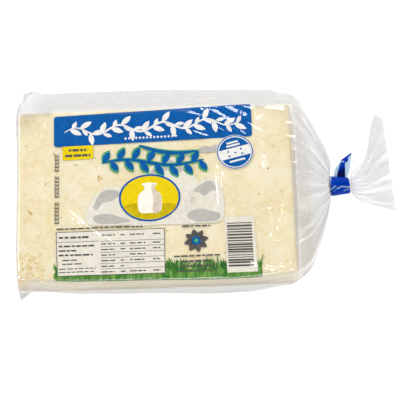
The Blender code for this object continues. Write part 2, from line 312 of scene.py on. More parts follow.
# Start and end (x, y) in mm, slope of its two sides, and half width in mm
CREASES = [
    (-48.6, -9.0, -39.6, -18.6, 0.235, 1.5),
    (-42.0, -16.4, -31.0, -25.6, 0.22, 1.5),
    (-34.0, -23.6, -22.0, -30.6, 0.21, 1.4),
    (-46.0, -14.6, -35.0, -25.0, 0.225, 1.3),
    (34.0, 13.0, 35.0, -12.0, 0.36, 1.2),
    (36.8, 9.0, 37.2, -3.0, 0.36, 1.1),
    (29.6, 55.0, 29.9, 44.0, 0.27, 1.6),
    (25.0, 48.5, 33.5, 42.3, 0.14, 1.5),
    (12.0, 47.4, 29.0, 43.0, 0.12, 1.4),
    (37.5, 49.5, 52.0, 41.0, 0.135, 3.8),
    (31.0, 47.6, 44.0, 38.4, 0.14, 2.6),
    (44.0, 51.0, 56.0, 46.0, 0.13, 2.6),
    (26.0, 41.6, 41.0, 32.4, 0.14, 1.2),
    (36.0, 39.4, 52.0, 29.8, 0.14, 1.3),
    (47.4, 40.0, 49.6, 50.6, 0.26, 1.2),
    (57.0, 41.0, 62.0, 50.6, 0.29, 1.8),
    (56.0, 47.6, 75.0, 44.8, 0.124, 4.8),
    (54.6, 45.4, 67.0, 40.6, 0.118, 3.4),
    (61.0, -13.9, 68.7, -11.0, 0.16, 1.0),
    (68.9, -11.3, 70.0, -21.0, 0.42, 1.1),
    (61.7, -13.0, 62.0, -24.0, 0.42, 1.1),
    (62.0, -24.0, 64.0, -32.0, 0.40, 1.1),
    (65.6, -32.0, 67.0, -20.0, 0.42, 1.1),
    (59.8, 18.0, 60.6, 10.5, 0.40, 1.1),
    (-66.0, 64.4, 58.0, 62.4, 0.57, 0.6),
    (-44.0, -47.2, -38.0, -51.4, 0.26, 0.9),
    (-37.0, -49.2, -29.8, -51.8, 0.25, 0.9),
    (-12.0, -49.2, 3.0, -52.4, 0.22, 0.9),
    (78.4, 36.0, 78.2, 4.0, 0.3, 0.8),
    (77.6, 6.0, 77.2, -14.0, 0.3, 0.8),
    (76.4, -12.0, 76.2, -44.0, 0.3, 0.8),
]


def soft_waves(x, y):
    """Slow waves of the film over the slab."""
    random = np.random.default_rng(WAVE_SEED)
    total = np.zeros_like(x)
    for _ in range(WAVE_COUNT):
        angle, length = random.uniform(0, math.pi), random.uniform(*WAVE_LENGTHS)
        phase, turn = random.uniform(0, 2 * math.pi), 2 * math.pi / length
        total += WAVE_HEIGHT * np.sin(turn * (x * math.cos(angle) + y * math.sin(angle)) + phase)
    return total


def folds(value, spacing, seed):
    """0 to 1 along a line that is folded sharply at random places, spacing apart on average."""
    random = np.random.default_rng(seed)
    places = FOLD_START + np.cumsum(random.uniform(*FOLD_SPREAD, FOLD_COUNT) * spacing)
    return np.interp(value, places, random.uniform(0, 1, FOLD_COUNT))


def scatter_creases(seed, count, window, angle, spread, length, slope, width=(0.8, 1.3)):
    """Short creases at random in a window (x0, x1, y0, y1), near one angle, in millimetres."""
    random = np.random.default_rng(seed)
    made = []
    for _ in range(count):
        x, y = random.uniform(*window[:2]), random.uniform(*window[2:])
        turn = math.radians(random.normal(angle, spread))
        half = random.uniform(*length) / 2
        across, up = half * math.cos(turn), half * math.sin(turn)
        steep, half_width = random.uniform(*slope), random.uniform(*width)
        made.append((x - across, y - up, x + across, y + up, steep, half_width))
    return made


def crease_height(x, y, creases):
    """How high sharp ridges stand at x, y. Each fades towards both its ends."""
    total = np.zeros_like(x)
    for x0, y0, x1, y1, slope, half_width in np.array(creases):
        run_x, run_y = (x1 - x0) * MM, (y1 - y0) * MM
        length = math.hypot(run_x, run_y)
        off_x, off_y = x - x0 * MM, y - y0 * MM
        along = (off_x * run_x + off_y * run_y) / length**2
        aside = np.abs(off_x * run_y - off_y * run_x) / length
        ridge = np.maximum(0, half_width * MM - aside)
        total += slope * ridge * np.clip(4 * along * (1 - along), 0, 1) ** CREASE_ENDS
    return total


# More of them at random: seed, count, window, angle, its spread, length, slope, half width
CREASE_GROUPS = (
    (11, 9, (22, 73, 30, 50), -30, 12, (4, 14), (0.11, 0.16)),
    (12, 8, (58, 75, -44, 28), 84, 10, (3, 8), (0.24, 0.32), (0.7, 1.0)),
    (13, 8, (-76, -66, -50, -36), 18, 12, (3, 7), (0.13, 0.19), (0.6, 0.9)),
    (20, 5, (-76, -68, -50, -34), 84, 10, (3, 7), (0.13, 0.18), (0.6, 0.9)),
    (14, 16, (46, 76, -52, -43), -17, 14, (4, 12), (0.16, 0.22), (0.7, 1.1)),
    (21, 8, (56, 76, -52, -38), 88, 12, (3, 8), (0.24, 0.32), (0.7, 0.9)),
    (15, 22, (-50, 56, 52, 61), 2, 5, (8, 30), (0.1, 0.2)),
    (16, 8, (-74, -58, 20, 44), 80, 20, (4, 10), (0.1, 0.17)),
    (17, 14, (76, 80, -46, 46), 90, 4, (8, 24), (0.2, 0.34), (0.6, 0.8)),
    (18, 14, (80, 90, -30, 36), 0, 60, (2, 6), (0.1, 0.25)),
    (19, 12, (-70, 74, -53, -50.8), 1, 5, (6, 26), (0.08, 0.16), (0.6, 0.9)),
)
for group in CREASE_GROUPS:
    CREASES += scatter_creases(*group)


def slab_mask(x, y):
    """1 over the slab's top, 0 where the film turns down beyond its edges."""
    inside = falls(y, SLAB_WIDTH / 2, MASK_SIDE_FADE) * rises(y, near_edge(x), MASK_SIDE_FADE)
    inside = inside * rises(x, SLAB_END_X, MASK_LEFT_FADE)
    return inside * falls(x, MASK_END_X, MASK_RIGHT_FADE)


print("creases", len(CREASES))

# %% [markdown]
# ## Sections, gather, neck and tail
# The left end closes on the seal, with a small ear at each corner. At the right the film
# draws in to the round neck in deep pleats, and past the neck it opens to the flat mouth.
# Real pleats are uneven and have sharp creases, so each round pleat of the solid gets a
# finer zigzag on it.

# %% Sections of the film
def share_of(steps):
    """The share of the way from the far fold to the near one, for each point of a half."""
    count = 2 * steps[0] + 2 * steps[1] + steps[2]
    return np.arange(count + 1) / count


def half_section(fold_far, far, near, fold_near, rounding, steps):
    """Points (y, z) of the film's upper or lower half, from the far fold to the near one."""
    side, arc, top = steps
    sizes = [np.linalg.norm(end - start, axis=1, keepdims=True)
             for start, end in ((far, fold_far), (near, fold_near))]
    far_start = far + (fold_far - far) / sizes[0] * rounding
    near_end = near + (fold_near - near) / sizes[1] * NEAR_ROUNDING
    far_end, near_start = far - rounding * (1, 0), near + (NEAR_ROUNDING, 0)
    legs = (
        (side, fold_far, blend(fold_far, far_start, 0.5), far_start),
        (arc, far_start, far, far_end),
        (top, far_end, blend(far_end, near_start, 0.5), near_start),
        (arc, near_start, near, near_end),
        (side + 1, near_end, blend(near_end, fold_near, 0.5), fold_near),
    )
    points, row = [], 0
    for count, start, corner, end in legs:
        t = (np.arange(count) / (side if count == side + 1 else count))[:, None]
        rows = slice(row, row + count)
        first = blend(start[rows], corner[rows], t)
        points.append(blend(first, blend(corner[rows], end[rows], t), t))
        row += count
    return np.vstack(points)


def slab_section(x, fullness, steps, upper):
    """Points (y, z) of the film round the slab. fullness is 0 at the flat seal."""
    x = np.broadcast_to(x, share_of(steps).shape)
    near_ear = NEAR_EAR * np.maximum(0, 1 - np.maximum(0, x - SEAL_X) / NEAR_EAR_FADE)
    far_ear = FAR_EAR * bump(x, FAR_EAR_X, FAR_EAR_REACH)
    reach = along_bag(NEAR_FOLD, x)
    bulge = reach * blend(BULGE_TOP, BULGE_TOP if upper else BULGE_FOOT, fullness)
    edge_z = np.full_like(x, blend(SEAL_Z, FILM_TOP if upper else FILM_FOOT, fullness))
    near_z = blend(SEAL_Z, along_bag(NEAR_HEIGHT, x), fullness)
    stand = SLAB_WIDTH / 2 + FILM_STANDOFF
    fold_far = np.stack((SLAB_WIDTH / 2 + along_bag(FAR_FOLD, x) + far_ear,
                         np.full_like(x, SEAL_Z)), axis=1)
    far = np.stack((np.full_like(x, stand), edge_z), axis=1)
    near = np.stack((-stand - bulge, edge_z), axis=1)
    fold_near = np.stack((-SLAB_WIDTH / 2 - reach - near_ear, near_z), axis=1)
    rounding = along_bag(FAR_ROUNDING, x)[:, None]
    return half_section(fold_far, far, near, fold_near, rounding, steps)


def left_end(progress, steps, upper):
    """From the seal, progress 0, over the slab's left edge, progress 1."""
    fullness = math.sin(progress * math.pi / 2) ** (2 / END_POWER)
    along = 1 - math.cos(progress * math.pi / 2) ** (2 / END_POWER)
    y = slab_section(SEAL_X, fullness, steps, upper)[:, 0]
    rounding = FAR_EAR_ROUNDING * np.maximum(0, 1 - (y[0] - y) / FAR_EAR_ROUNDING) ** 2
    rounding += NEAR_EAR_ROUNDING * np.maximum(0, 1 - (y - y[-1]) / NEAR_EAR_LENGTH) ** 2
    x = blend(SEAL_X + rounding - SWAY * bump(y, SWAY_Y, SWAY_REACH), SLAB_END_X, along)
    return np.column_stack((x, slab_section(x, fullness, steps, upper)))


def slab_ring(x, steps, upper):
    """Round the slab at x."""
    section = slab_section(x, 1.0, steps, upper)
    return np.column_stack((np.full(len(section), x), section))


def neck_ring(x, steps, upper):
    """Round the neck at x, where the film is held by the tape."""
    share = (x - NECK_START_X) / (NECK_END_X - NECK_START_X)
    radius = blend(NECK_START_RADIUS, NECK_END_RADIUS, share)
    angle = math.pi * share_of(steps) * (1 if upper else -1)
    return np.column_stack((np.full_like(angle, x), NECK_Y + radius * np.cos(angle),
                            NECK_Z + radius * np.sin(angle)))


# Finer pleats: (share of the section from one to the next, height in mm, seed)
FINE_PLEATS = ((0.034, 0.8, 21), (0.014, 0.24, 22))
PLEAT_SIDES, FINE_PLEAT_ENDS, LOWER_SEEDS = 9, 0.6, 100
# How far the finer pleats stray: share of the section, turns with progress and with share
PLEAT_DRIFT = (0.012, 5, 9)
TAIL_DRIFT = (0.008, 4)
TAIL_FINE_PLEATS = ((0.09, 0.15, 31), (0.03, 0.08, 32))
# Thin creases that run along the pleats: place and half width as shares of the section,
# slope of their sides, and the progress at which each starts and ends
GATHER_CREASES = [
    (0.17, 0.012, 0.45, 0.10, 1.0), (0.29, 0.010, 0.40, -0.10, 1.0),
    (0.40, 0.008, 0.35, 0.05, 1.0), (0.50, 0.008, 0.35, 0.10, 1.0),
    (0.57, 0.008, 0.35, 0.25, 1.0), (0.68, 0.009, 0.40, 0.15, 1.0),
    (0.76, 0.009, 0.40, 0.25, 1.0),
]
TAIL_CREASES = [(0.10, 0.008, 0.25, 0.3, 1.2), (0.93, 0.008, 0.3, 0.1, 1.3)]
THIN_CREASE_STARTS, THIN_CREASE_LENGTHS = (-0.2, 0.7), (0.25, 0.9)
THIN_CREASE_HALF_WIDTHS = (0.006, 0.010)


def scatter_along_pleats(seed, count, window, slope):
    """Thin creases at random places of the section in a window, all as shares of it."""
    random = np.random.default_rng(seed)
    made = []
    for _ in range(count):
        start = random.uniform(*THIN_CREASE_STARTS)
        made.append((random.uniform(*window), random.uniform(*THIN_CREASE_HALF_WIDTHS),
                     random.uniform(*slope), start, start + random.uniform(*THIN_CREASE_LENGTHS)))
    return made


def crease_along(share, progress, span, creases):
    """How high thin creases stand at each share of a section that is span wide."""
    total = np.zeros_like(share)
    for place, half_width, slope, start, end in creases:
        along = (progress - start) / (end - start)
        ridge = np.maximum(0, 1 - np.abs(share - place) / half_width)
        fade = max(0.0, 4 * along * (1 - along)) ** CREASE_ENDS
        total += slope * half_width * span * ridge * fade
    return total


GATHER_CREASES += scatter_along_pleats(51, 40, (0.1, 0.9), (0.25, 0.5))
TAIL_CREASES += scatter_along_pleats(52, 16, (0.05, 0.95), (0.12, 0.28))


def smooth_edge(points, share):
    """A point (x, y) on a smooth curve through the given points, in metres."""
    points = np.array(points)
    position = min(share, 0.999999) * (len(points) - 1)
    index = int(position)
    t = position - index
    around = np.clip(np.arange(index - 1, index + 3), 0, len(points) - 1)
    return curve_through(*points[around], t) * MM


def gather(progress, steps, upper):
    """From the slab's right end, progress 0, to the neck, progress 1, in pleats."""
    far, near = smooth_edge(GATHER_FAR_EDGE, progress), smooth_edge(GATHER_NEAR_EDGE, progress)
    share = share_of(steps)
    ring = neck_ring(NECK_START_X, steps, upper)
    outer = slab_section(GATHER_X, 1.0, steps, upper)
    # How far each side still is from the neck: 1 at the slab, 0 at the neck
    width_far, width_near = ((edge[1] - ring[end, 1]) / (outer[end, 0] - ring[end, 1])
                             for edge, end in ((far, 0), (near, -1)))
    width = blend(width_far, width_near, ease(share))
    points = np.column_stack((blend(far[0], near[0], ease(2 * share)),
                              blend(ring[:, 1], outer[:, 0], width),
                              blend(ring[:, 2], outer[:, 1], width)))
    depth = PLEAT_DEPTH * math.sin(progress * math.pi) ** PLEAT_SOFTNESS
    middle = (share * (1 - share) * PLEAT_SIDES).clip(0, 1)
    inset = depth * middle * (0.5 - 0.5 * np.cos(PLEATS * math.pi * share))
    inward = np.array((NECK_Y, NECK_Z)) - points[:, 1:]
    inward /= np.linalg.norm(inward, axis=1, keepdims=True)
    points[:, 1:] += inward * inset[:, None]
    fine = math.sin(progress * math.pi) ** FINE_PLEAT_ENDS * middle
    sway, turns_along, turns_round = PLEAT_DRIFT
    drift = sway * np.sin(turns_along * progress + turns_round * share)
    for spacing, height, seed in FINE_PLEATS:
        crease = folds(share + drift, spacing, seed + LOWER_SEEDS * (not upper))
        points[:, 2] += (-1 if upper else 1) * height * MM * fine * crease
    if upper:
        points[:, 2] += fine * crease_along(share, progress, far[1] - near[1], GATHER_CREASES)
    return points


def tail(progress, steps, upper):
    """From the neck, progress 0, to the flat mouth, progress 1, in deepening pleats."""
    share = share_of(steps)
    ring = neck_ring(NECK_END_X, steps, upper)
    across = blend(0.5 - 0.5 * np.cos(math.pi * share), share, progress)
    flat = blend(smooth_edge(TAIL_FAR_EDGE, progress)[None, :],
                 smooth_edge(TAIL_NEAR_EDGE, progress)[None, :], across[:, None])
    corner = progress**TAIL_CORNER_START * np.maximum(0, 1 - across / TAIL_CORNER_WIDTH)
    flat[:, 0] -= TAIL_CORNER_CUT * corner
    side = 0.5 if upper else -0.5
    thickness = TAIL_MID_THICKNESS * (1 - progress) * np.sin(math.pi * share)
    wave = np.sin(2 * math.pi * TAIL_PLEATS * across + TAIL_PLEAT_PHASE)
    fade = np.minimum(1, np.minimum(share, 1 - share) / TAIL_PLEAT_FADE)
    lift = TAIL_FAR_LIFT * progress * (1 - across)
    pleat = TAIL_PLEAT_DEPTH * progress * wave * fade
    drift = TAIL_DRIFT[0] * math.sin(TAIL_DRIFT[1] * progress)
    for spacing, height, seed in TAIL_FINE_PLEATS:
        zigzag = folds(across + drift, spacing, seed) - 0.5
        pleat = pleat + height * MM * zigzag * fade * progress
    span = flat[0, 1] - flat[-1, 1]
    pleat = pleat + fade * crease_along(across, progress, span, TAIL_CREASES)
    z = NECK_Z + lift + pleat + side * thickness
    fan = np.column_stack((flat, z))
    gathered = np.column_stack((flat[:, 0], ring[:, 1:]))
    return blend(gathered, fan, ease(progress / TAIL_OPEN_BY))


print("points round the bag", len(share_of(UPPER_STEPS)) + len(share_of(LOWER_STEPS)) - 2)

# %% [markdown]
# ## Tight and slack film
# Film that is pressed on the slab is clear and smooth. Where it hangs free it is finely
# crumpled, so it looks milky and mirrors softly. Round the neck, light and dark streaks are
# painted on it as the shading of fine folds. Painted shade darkens it low on the near side and
# on the gather's near side, and painted light brightens the gather's far side. Two values are
# painted on the film for its material: how slack it is, with that painted shade in it, from 0
# to 1.5, and how much cream light from the slab's end is painted into its tint as painted
# bounce light.

# %% How slack the film is
SLACK_BODY, SLACK_WALL, SLACK_TAIL, SLACK_MOST = 0.72, 0.4, 0.6, 1.5
# Painted shade on the film low on the near side, by the table: its strength and height
FOOT_SHADE, FOOT_HEIGHT = 0.85, 8 * MM
PRESSED_ABOVE = 17 * MM
# Where the film lies tight on the slab's top: its ends, and its far side (plain, printed)
PRESSED_LEFT_X, PRESSED_RIGHT_X, PRESSED_FAR = -76 * MM, 80 * MM, (-2.5 * MM, 0.6 * MM)
PRINT_START_X, PRINT_END_X, PRINT_FADE = -59 * MM, 58 * MM, 4 * MM
# Haze at the slab's far corners: x, stretch along the bag, reach, and share
CORNER_HAZE = ((-76 * MM, 0.8, 20 * MM, 0.7), (72 * MM, 1.2, 13 * MM, 0.3))
NEAR_WALL_END_X, LEFT_WALL_X, RIGHT_WALL = 76 * MM, -73 * MM, (72 * MM, 79 * MM)
EAR_X, EAR_Y, EAR_REACH, EAR_CLEARNESS = -76 * MM, 16 * MM, 18 * MM, 0.55
# Painted shade on the gather's near side, painted light on its far side: y in mm, and share
GATHER_SHADE = ((-60, 0.22), (-34, 0.28), (-22, 0.3), (-8, 0), (20, 0), (42, -0.2))
GATHER_SHADE_X = 80 * MM
NECK_MIDDLE_X = (NECK_START_X + NECK_END_X) / 2
# Painted light and dark fold streaks round the neck: spacing as a share of a half turn, weight,
# and seed
FOLD_STREAKS = ((0.026, 0.6, 61), (0.013, 0.4, 62))
RADIAL_START_X, RADIAL_START = 76 * MM, 5 * MM
GATHER_LINES, TAIL_LINES = 0.55, 0.32
# Painted bounce light from the slab's end: its share far off and beside the slab's end, its place,
# reach and end
CREAM_SHARES, CREAM_X, CREAM_REACH, CREAM_END_X = (0.2, 0.95), 81 * MM, 9 * MM, 94 * MM
CREAM_LOSS, CREAM_LOSS_X, CREAM_LOSS_Y = 0.55, 76 * MM, -12 * MM


def pressed_on(x, y):
    """1 where the film lies tight on the slab's top and looks clear, 0 where it stands off."""
    printed = falls(x, PRINT_END_X, PRINT_FADE) * rises(x, PRINT_START_X, PRINT_FADE)
    far = SLAB_WIDTH / 2 + blend(*PRESSED_FAR, printed)
    tight = ease((far - y) / (2.5 * MM) + 0.5) * rises(y, near_edge(x), 2 * MM)
    tight *= rises(x, PRESSED_LEFT_X, 1.5 * MM) * falls(x, PRESSED_RIGHT_X, 9 * MM)
    for corner_x, stretch, reach, haze in CORNER_HAZE:
        off = np.hypot((x - corner_x) / stretch, y - SLAB_WIDTH / 2)
        tight = tight * (1 - haze * bump(off, 0, reach))
    return tight


def painted_fold_streaks(x, y):
    """-1 to 1 across painted fold streaks that radiate from the neck, 0 where the film isn't
    gathered.
    """
    turn = np.arctan2(y - NECK_Y, np.abs(x - NECK_MIDDLE_X)) / math.pi + 0.5
    lines = sum(weight * (2 * folds(turn, spacing, seed) - 1)
                for spacing, weight, seed in FOLD_STREAKS)
    reach = np.hypot(y - NECK_Y, x - NECK_MIDDLE_X)
    return rises(x, RADIAL_START_X, 6 * MM) * rises(reach, RADIAL_START, 3 * MM) * lines


def slack_and_painted_shade(x, y, z):
    """0 where tight and clear, up to SLACK_MOST where loose and milky, plus painted shade and fold
    streaks.
    """
    near_wall = falls(y, near_edge(x) + 1.5 * MM, 2 * MM) * falls(x, NEAR_WALL_END_X, 5 * MM)
    left_wall = falls(x, LEFT_WALL_X, 2 * MM) * (y < SLAB_WIDTH / 2)
    right_wall = falls(y, SLAB_WIDTH / 2 + 1 * MM, 2 * MM)
    right_wall *= rises(x, RIGHT_WALL[0], 2 * MM) * falls(x, RIGHT_WALL[1], 2 * MM)
    walls = np.maximum(np.maximum(near_wall, left_wall), right_wall)
    # Painted shade: the film is made slacker, so greyer, low on the near side
    foot = falls(z, FOOT_HEIGHT, 5 * MM) * falls(y, near_edge(x), 1 * MM)
    loose = blend(SLACK_BODY, SLACK_WALL, walls) + FOOT_SHADE * foot
    loose *= 1 - pressed_on(x, y) * rises(z, PRESSED_ABOVE, 2 * MM)
    ear = np.hypot(x - EAR_X, y - SLAB_WIDTH / 2 - EAR_Y)
    loose *= 1 - EAR_CLEARNESS * bump(ear, 0, EAR_REACH)
    # Painted shade on the gather's near side, and painted light on its far side
    loose += between_rows(GATHER_SHADE, y) * rises(x, GATHER_SHADE_X, 4 * MM)
    past_neck = rises(x, NECK_START_X, 12 * MM)
    loose = blend(loose, SLACK_TAIL, past_neck)
    # Painted light and dark fold streaks round the neck, in the film's tint
    lines = blend(GATHER_LINES, TAIL_LINES, past_neck) * painted_fold_streaks(x, y)
    return np.clip(loose + lines, 0, SLACK_MOST)


def painted_bounce_light(x, y):
    """How much painted bounce light from the slab's end warms the film's tint."""
    share = blend(*CREAM_SHARES, bump(x, CREAM_X, CREAM_REACH)) * falls(x, CREAM_END_X, 8 * MM)
    loss = CREAM_LOSS * rises(x, CREAM_LOSS_X, 4 * MM)
    return share * (1 - loss * rises(y, CREAM_LOSS_Y, 30 * MM))


middle = np.array([[0.0], [0.0], [FILM_TOP]])
print("slack over the slab's middle", slack_and_painted_shade(*middle))

# %% [markdown]
# ## The film as one closed sheet
# One flat grid is laid out, a row for each ring of the bag and a column for each point
# round it. Its vertices are then moved to their places. Merging doubles closes the long
# edge and presses the two halves together at the seal and the mouth, and the slits that
# are left there are filled. A grid keeps the quads in order, which cutting a tube out of a
# cylinder would not. The normals point outward, so a volume below zero turns them round.

# %% Wrap the film
LEFT_RINGS, SLAB_RING_STEP, GATHER_RINGS, NECK_RINGS, TAIL_RINGS = 12, 0.72 * MM, 64, 4, 56
BAND_RIPPLES = ((3.4 * MM, 0.5, 41), (1.5 * MM, 0.22, 42))
WALL_RIPPLES = ((2.6 * MM, 0.5, 43), (1.1 * MM, 0.2, 44))
# How ripples stray along the bag: lean, sway, and the length of a sway
BAND_DRIFT, WALL_DRIFT = (0.03, 1.2 * MM, 17 * MM), (0.05, 0.9 * MM, 11 * MM)
RUFFLE_END_X, RUFFLE_FAR_Y = 94 * MM, 66 * MM
WELD = 0.001 * MM


def bag_rings():
    """Each ring of the bag from seal to mouth, as a function of (steps, upper)."""
    rings = [lambda s, u, p=i / LEFT_RINGS: left_end(p, s, u) for i in range(LEFT_RINGS + 1)]
    count = round((GATHER_X - SLAB_END_X) / SLAB_RING_STEP)
    for x in np.linspace(SLAB_END_X, GATHER_X, count + 1)[1:]:
        rings.append(lambda s, u, x=x: slab_ring(x, s, u))
    for i in range(1, GATHER_RINGS + 1):
        rings.append(lambda s, u, p=i / GATHER_RINGS: gather(p, s, u))
    for x in np.linspace(NECK_START_X, NECK_END_X, NECK_RINGS + 1)[1:]:
        rings.append(lambda s, u, x=x: neck_ring(x, s, u))
    for i in range(1, TAIL_RINGS + 1):
        rings.append(lambda s, u, p=i / TAIL_RINGS: tail(p, s, u))
    return rings


def ruffle(points, upper):
    """Adds waves and creases to the film's points, away from neck and tail."""
    x, y, z = points.T
    body = falls(x, RUFFLE_END_X, 12 * MM) * rises(x, SEAL_X, 4 * MM)
    slack = body * rises(y, SLAB_WIDTH / 2, 2 * MM) * falls(y, RUFFLE_FAR_Y, 5 * MM)
    lean, sway, length = BAND_DRIFT
    for spacing, height, seed in BAND_RIPPLES:
        slope = y + lean * x + sway * np.sin(x / length + seed)
        z = z + height * MM * slack * (folds(slope, spacing, seed + upper) - 0.5)
    if upper:
        z = z + soft_waves(x, y) * slab_mask(x, y) + body * crease_height(x, y, CREASES)
        wall = body * falls(y, near_edge(x) + 1.2 * MM, 2 * MM) * rises(z, 3 * MM, 3 * MM)
        lean, sway, length = WALL_DRIFT
        for spacing, height, seed in WALL_RIPPLES:
            slope = z + lean * x + sway * np.sin(x / length + seed)
            y = y - height * MM * wall * folds(slope, spacing, seed)
    return np.column_stack((x, y, np.clip(z, FILM_FOOT, FILM_LIMIT)))


def half_film(rings, steps, upper):
    """The points of the film's upper or lower half, ring by ring."""
    half = np.array([ring(steps, upper) for ring in rings])
    return ruffle(half.reshape(-1, 3), upper).reshape(half.shape)


def wrap_film(bm):
    """A flat grid becomes the whole bag, closed along its fold, seal and mouth."""
    rings = bag_rings()
    upper, lower = half_film(rings, UPPER_STEPS, True), half_film(rings, LOWER_STEPS, False)
    lower[:, (0, -1)] = upper[:, (0, -1)]
    # At the seal and at the mouth the lower half shares points of the upper half
    shared = np.round(share_of(LOWER_STEPS) * (upper.shape[1] - 1)).astype(int)
    lower[[0, -1]] = upper[[0, -1]][:, shared]
    whole = np.concatenate((upper, lower[:, -2::-1]), axis=1)
    rows, columns = len(rings) - 1, whole.shape[1] - 1
    bmesh.ops.create_grid(bm, x_segments=rows, y_segments=columns, size=0.5)
    for vert in bm.verts:
        row, column = round((vert.co.x + 0.5) * rows), round((vert.co.y + 0.5) * columns)
        vert.co = whole[row, column]
    bmesh.ops.remove_doubles(bm, verts=bm.verts, dist=WELD)
    bmesh.ops.holes_fill(bm, edges=[edge for edge in bm.edges if edge.is_boundary], sides=0)
    bmesh.ops.recalc_face_normals(bm, faces=bm.faces)
    if bm.calc_volume(signed=True) < 0:
        bmesh.ops.reverse_faces(bm, faces=bm.faces)
    slack = bm.verts.layers.float.new("slack")
    x, y, z = np.array([vert.co for vert in bm.verts]).T
    loose = slack_and_painted_shade(x, y, z)
    cream = bm.verts.layers.float.new("cream")
    for vert, share, bounce_share in zip(bm.verts, loose, painted_bounce_light(x, y)):
        vert[slack], vert[cream] = share, bounce_share


# %% [markdown]
# ## Clear film
# Cast polyethylene bag film, about 0.06 mm thick: clear, slightly milky, and glossy on both
# faces. Light mostly goes straight through, so a Transparent shader carries it, a little
# greyer where the film is seen edge-on. Its two glossy faces together mirror about 8 per
# cent head on and more at a glancing angle. Schlick's rule gives that from the Facing of a
# Layer Weight node, the same from inside the bag as from outside, where a Fresnel node
# would treat the inside as solid glass. A thin share of white diffuse is the milkiness.
# The attribute "slack" brings in haze and softer gloss, and painted shade and painted fold
# streaks. The attribute "cream" gives a warmer tint, painted bounce light from the slab's end.

# %% Film material
HEAD_ON = 0.075
film_material, tree, output = start_material("clear cast polyethylene film")
place = add_node(tree, "TexCoord").outputs["Object"]
crinkle = add_node(tree, "TexNoise", {
    "Vector": place, "Scale": 260.0, "Detail": 3.0, "Roughness": 0.6})
relief = add_node(tree, "Bump", {"Strength": 0.12, "Distance": 0.3 * MM, "Height": crinkle})
facing = add_node(tree, "LayerWeight", {"Blend": 0.5, "Normal": relief})
slack = add_node(tree, "Attribute", attribute_name="slack").outputs["Fac"]
cream = add_node(tree, "Attribute", attribute_name="cream").outputs["Fac"]
# Painted bounce light: where "cream" is high, the film's tint is painted warmer.
haze_and_bounce_tint = add_node(tree, "MixRGB", {
    "Fac": cream, "Color1": linear("#dededf"), "Color2": linear("#dedacf")})
sheet = add_node(tree, "MixRGB", {"Fac": slack, "Color1": linear("#fbfbfb"), "Color2": haze_and_bounce_tint})
slant = add_node(tree, "Math", {0: facing.outputs["Facing"], 1: 1.3}, operation="POWER")
edge_on = add_node(tree, "Math", {0: slant, 1: slack}, operation="MULTIPLY")
tint = add_node(tree, "MixRGB", {"Fac": edge_on, "Color1": sheet, "Color2": linear("#b4b4b7")})
clear = add_node(tree, "BsdfTransparent", {"Color": tint})
milk = add_node(tree, "BsdfDiffuse", {"Color": linear("#f2f2f3"), "Normal": relief})
cloudy = add_node(tree, "MapRange", {"Value": slack, "To Min": 0.002, "To Max": 0.16})
haze = add_node(tree, "MixShader", {"Fac": cloudy, 1: clear, 2: milk})
grazing = add_node(tree, "Math", {0: facing.outputs["Facing"], 1: 5.0}, operation="POWER")
mirror = add_node(tree, "Math", {0: grazing, 1: 1 - HEAD_ON, 2: HEAD_ON}, operation="MULTIPLY_ADD")
satin = add_node(tree, "MapRange", {"Value": slack, "To Min": 0.065, "To Max": 0.36})
gloss = add_node(tree, "BsdfGlossy", {
    "Color": linear("#ffffff"), "Roughness": satin, "Normal": relief})
surface = add_node(tree, "MixShader", {"Fac": mirror, 1: haze, 2: gloss})
tree.links.new(surface.outputs["Shader"], output.inputs["Surface"])

film_bm = bmesh.new()
wrap_film(film_bm)
film = add_piece("film_bag", film_bm, film_material)
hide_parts("bag")

# %% [markdown]
# ## The slab of cheese
# Pressed curd, cut to a block with a wire: flat faces with slow dents, small pits where
# whey drained, and edges that crumble a little. A cube with bevelled edges is divided into
# a fine lattice. Its faces are then leaned and bulged to the slab's real outline, and
# roughened with noise along their normals.

# %% Cheese mesh
CHEESE_TOP, CHEESE_FOOT = 20.05 * MM, 0.3 * MM
BLOCK_LENGTH, BLOCK_WIDTH, BLOCK_HEIGHT = 152 * MM, 101 * MM, 20 * MM
CHEESE_EDGE = 0.7 * MM
CHEESE_CUTS = (140, 96, 12)
LEFT_TOP_X, LEFT_FOOT_X = -75.6 * MM, -76.3 * MM
RIGHT_TOP_X, RIGHT_FOOT_X, RIGHT_FOOT_NEAR_X = 75.2 * MM, 78.4 * MM, 77.2 * MM
CORNER_X, CORNER_Y = 74.5 * MM, 49.4 * MM
FAR_EDGE = ((-77, 49.5), (0, 49.6), (77, 49.7))
NEAR_EDGE_SLACK = 0.6 * MM
# Dents of the cut face, from slow to fine: size and depth in mm
SLOW_DENTS, SMALL_DENTS, GRAIN = (19, 0.26), (6, 0.16), (2.4, 0.14)
CRUMBLED_CORNER, CRUMBLE_REACH = Vector((-72, -49, 20)), 17
CRUMBLE_SIZE, CRUMBLE_DEPTH = 2.6, 1.1
PITS, PIT_SEED, PIT_SIZES, PIT_DEPTH = 46, 5, (0.8, 1.9), 0.45
PIT_X, PIT_Y = (-74, 74), (-49, 49)


def lean(vert_co):
    """Moves a point of the block, given from -1 to 1 and 0 to 1 upwards, to its real place."""
    u, v, w = vert_co
    right_foot = blend(RIGHT_FOOT_NEAR_X, RIGHT_FOOT_X, float(ease(v + 1)))
    x = blend(blend(LEFT_FOOT_X, LEFT_TOP_X, w), blend(right_foot, RIGHT_TOP_X, w), (u + 1) / 2)
    reach = float(along_bag(NEAR_FOLD, np.array([x]))[0])
    top_near = -SLAB_WIDTH / 2 - BULGE_TOP * reach + NEAR_EDGE_SLACK
    foot_near = -SLAB_WIDTH / 2 - reach + NEAR_EDGE_SLACK
    far = float(along_bag(FAR_EDGE, np.array([x]))[0])
    y = blend(blend(foot_near, top_near, w), far, (v + 1) / 2)
    corner = CORNER_Y - max(0.0, x - CORNER_X)
    return Vector((x, min(max(y, -corner), corner), blend(CHEESE_FOOT, CHEESE_TOP, w)))


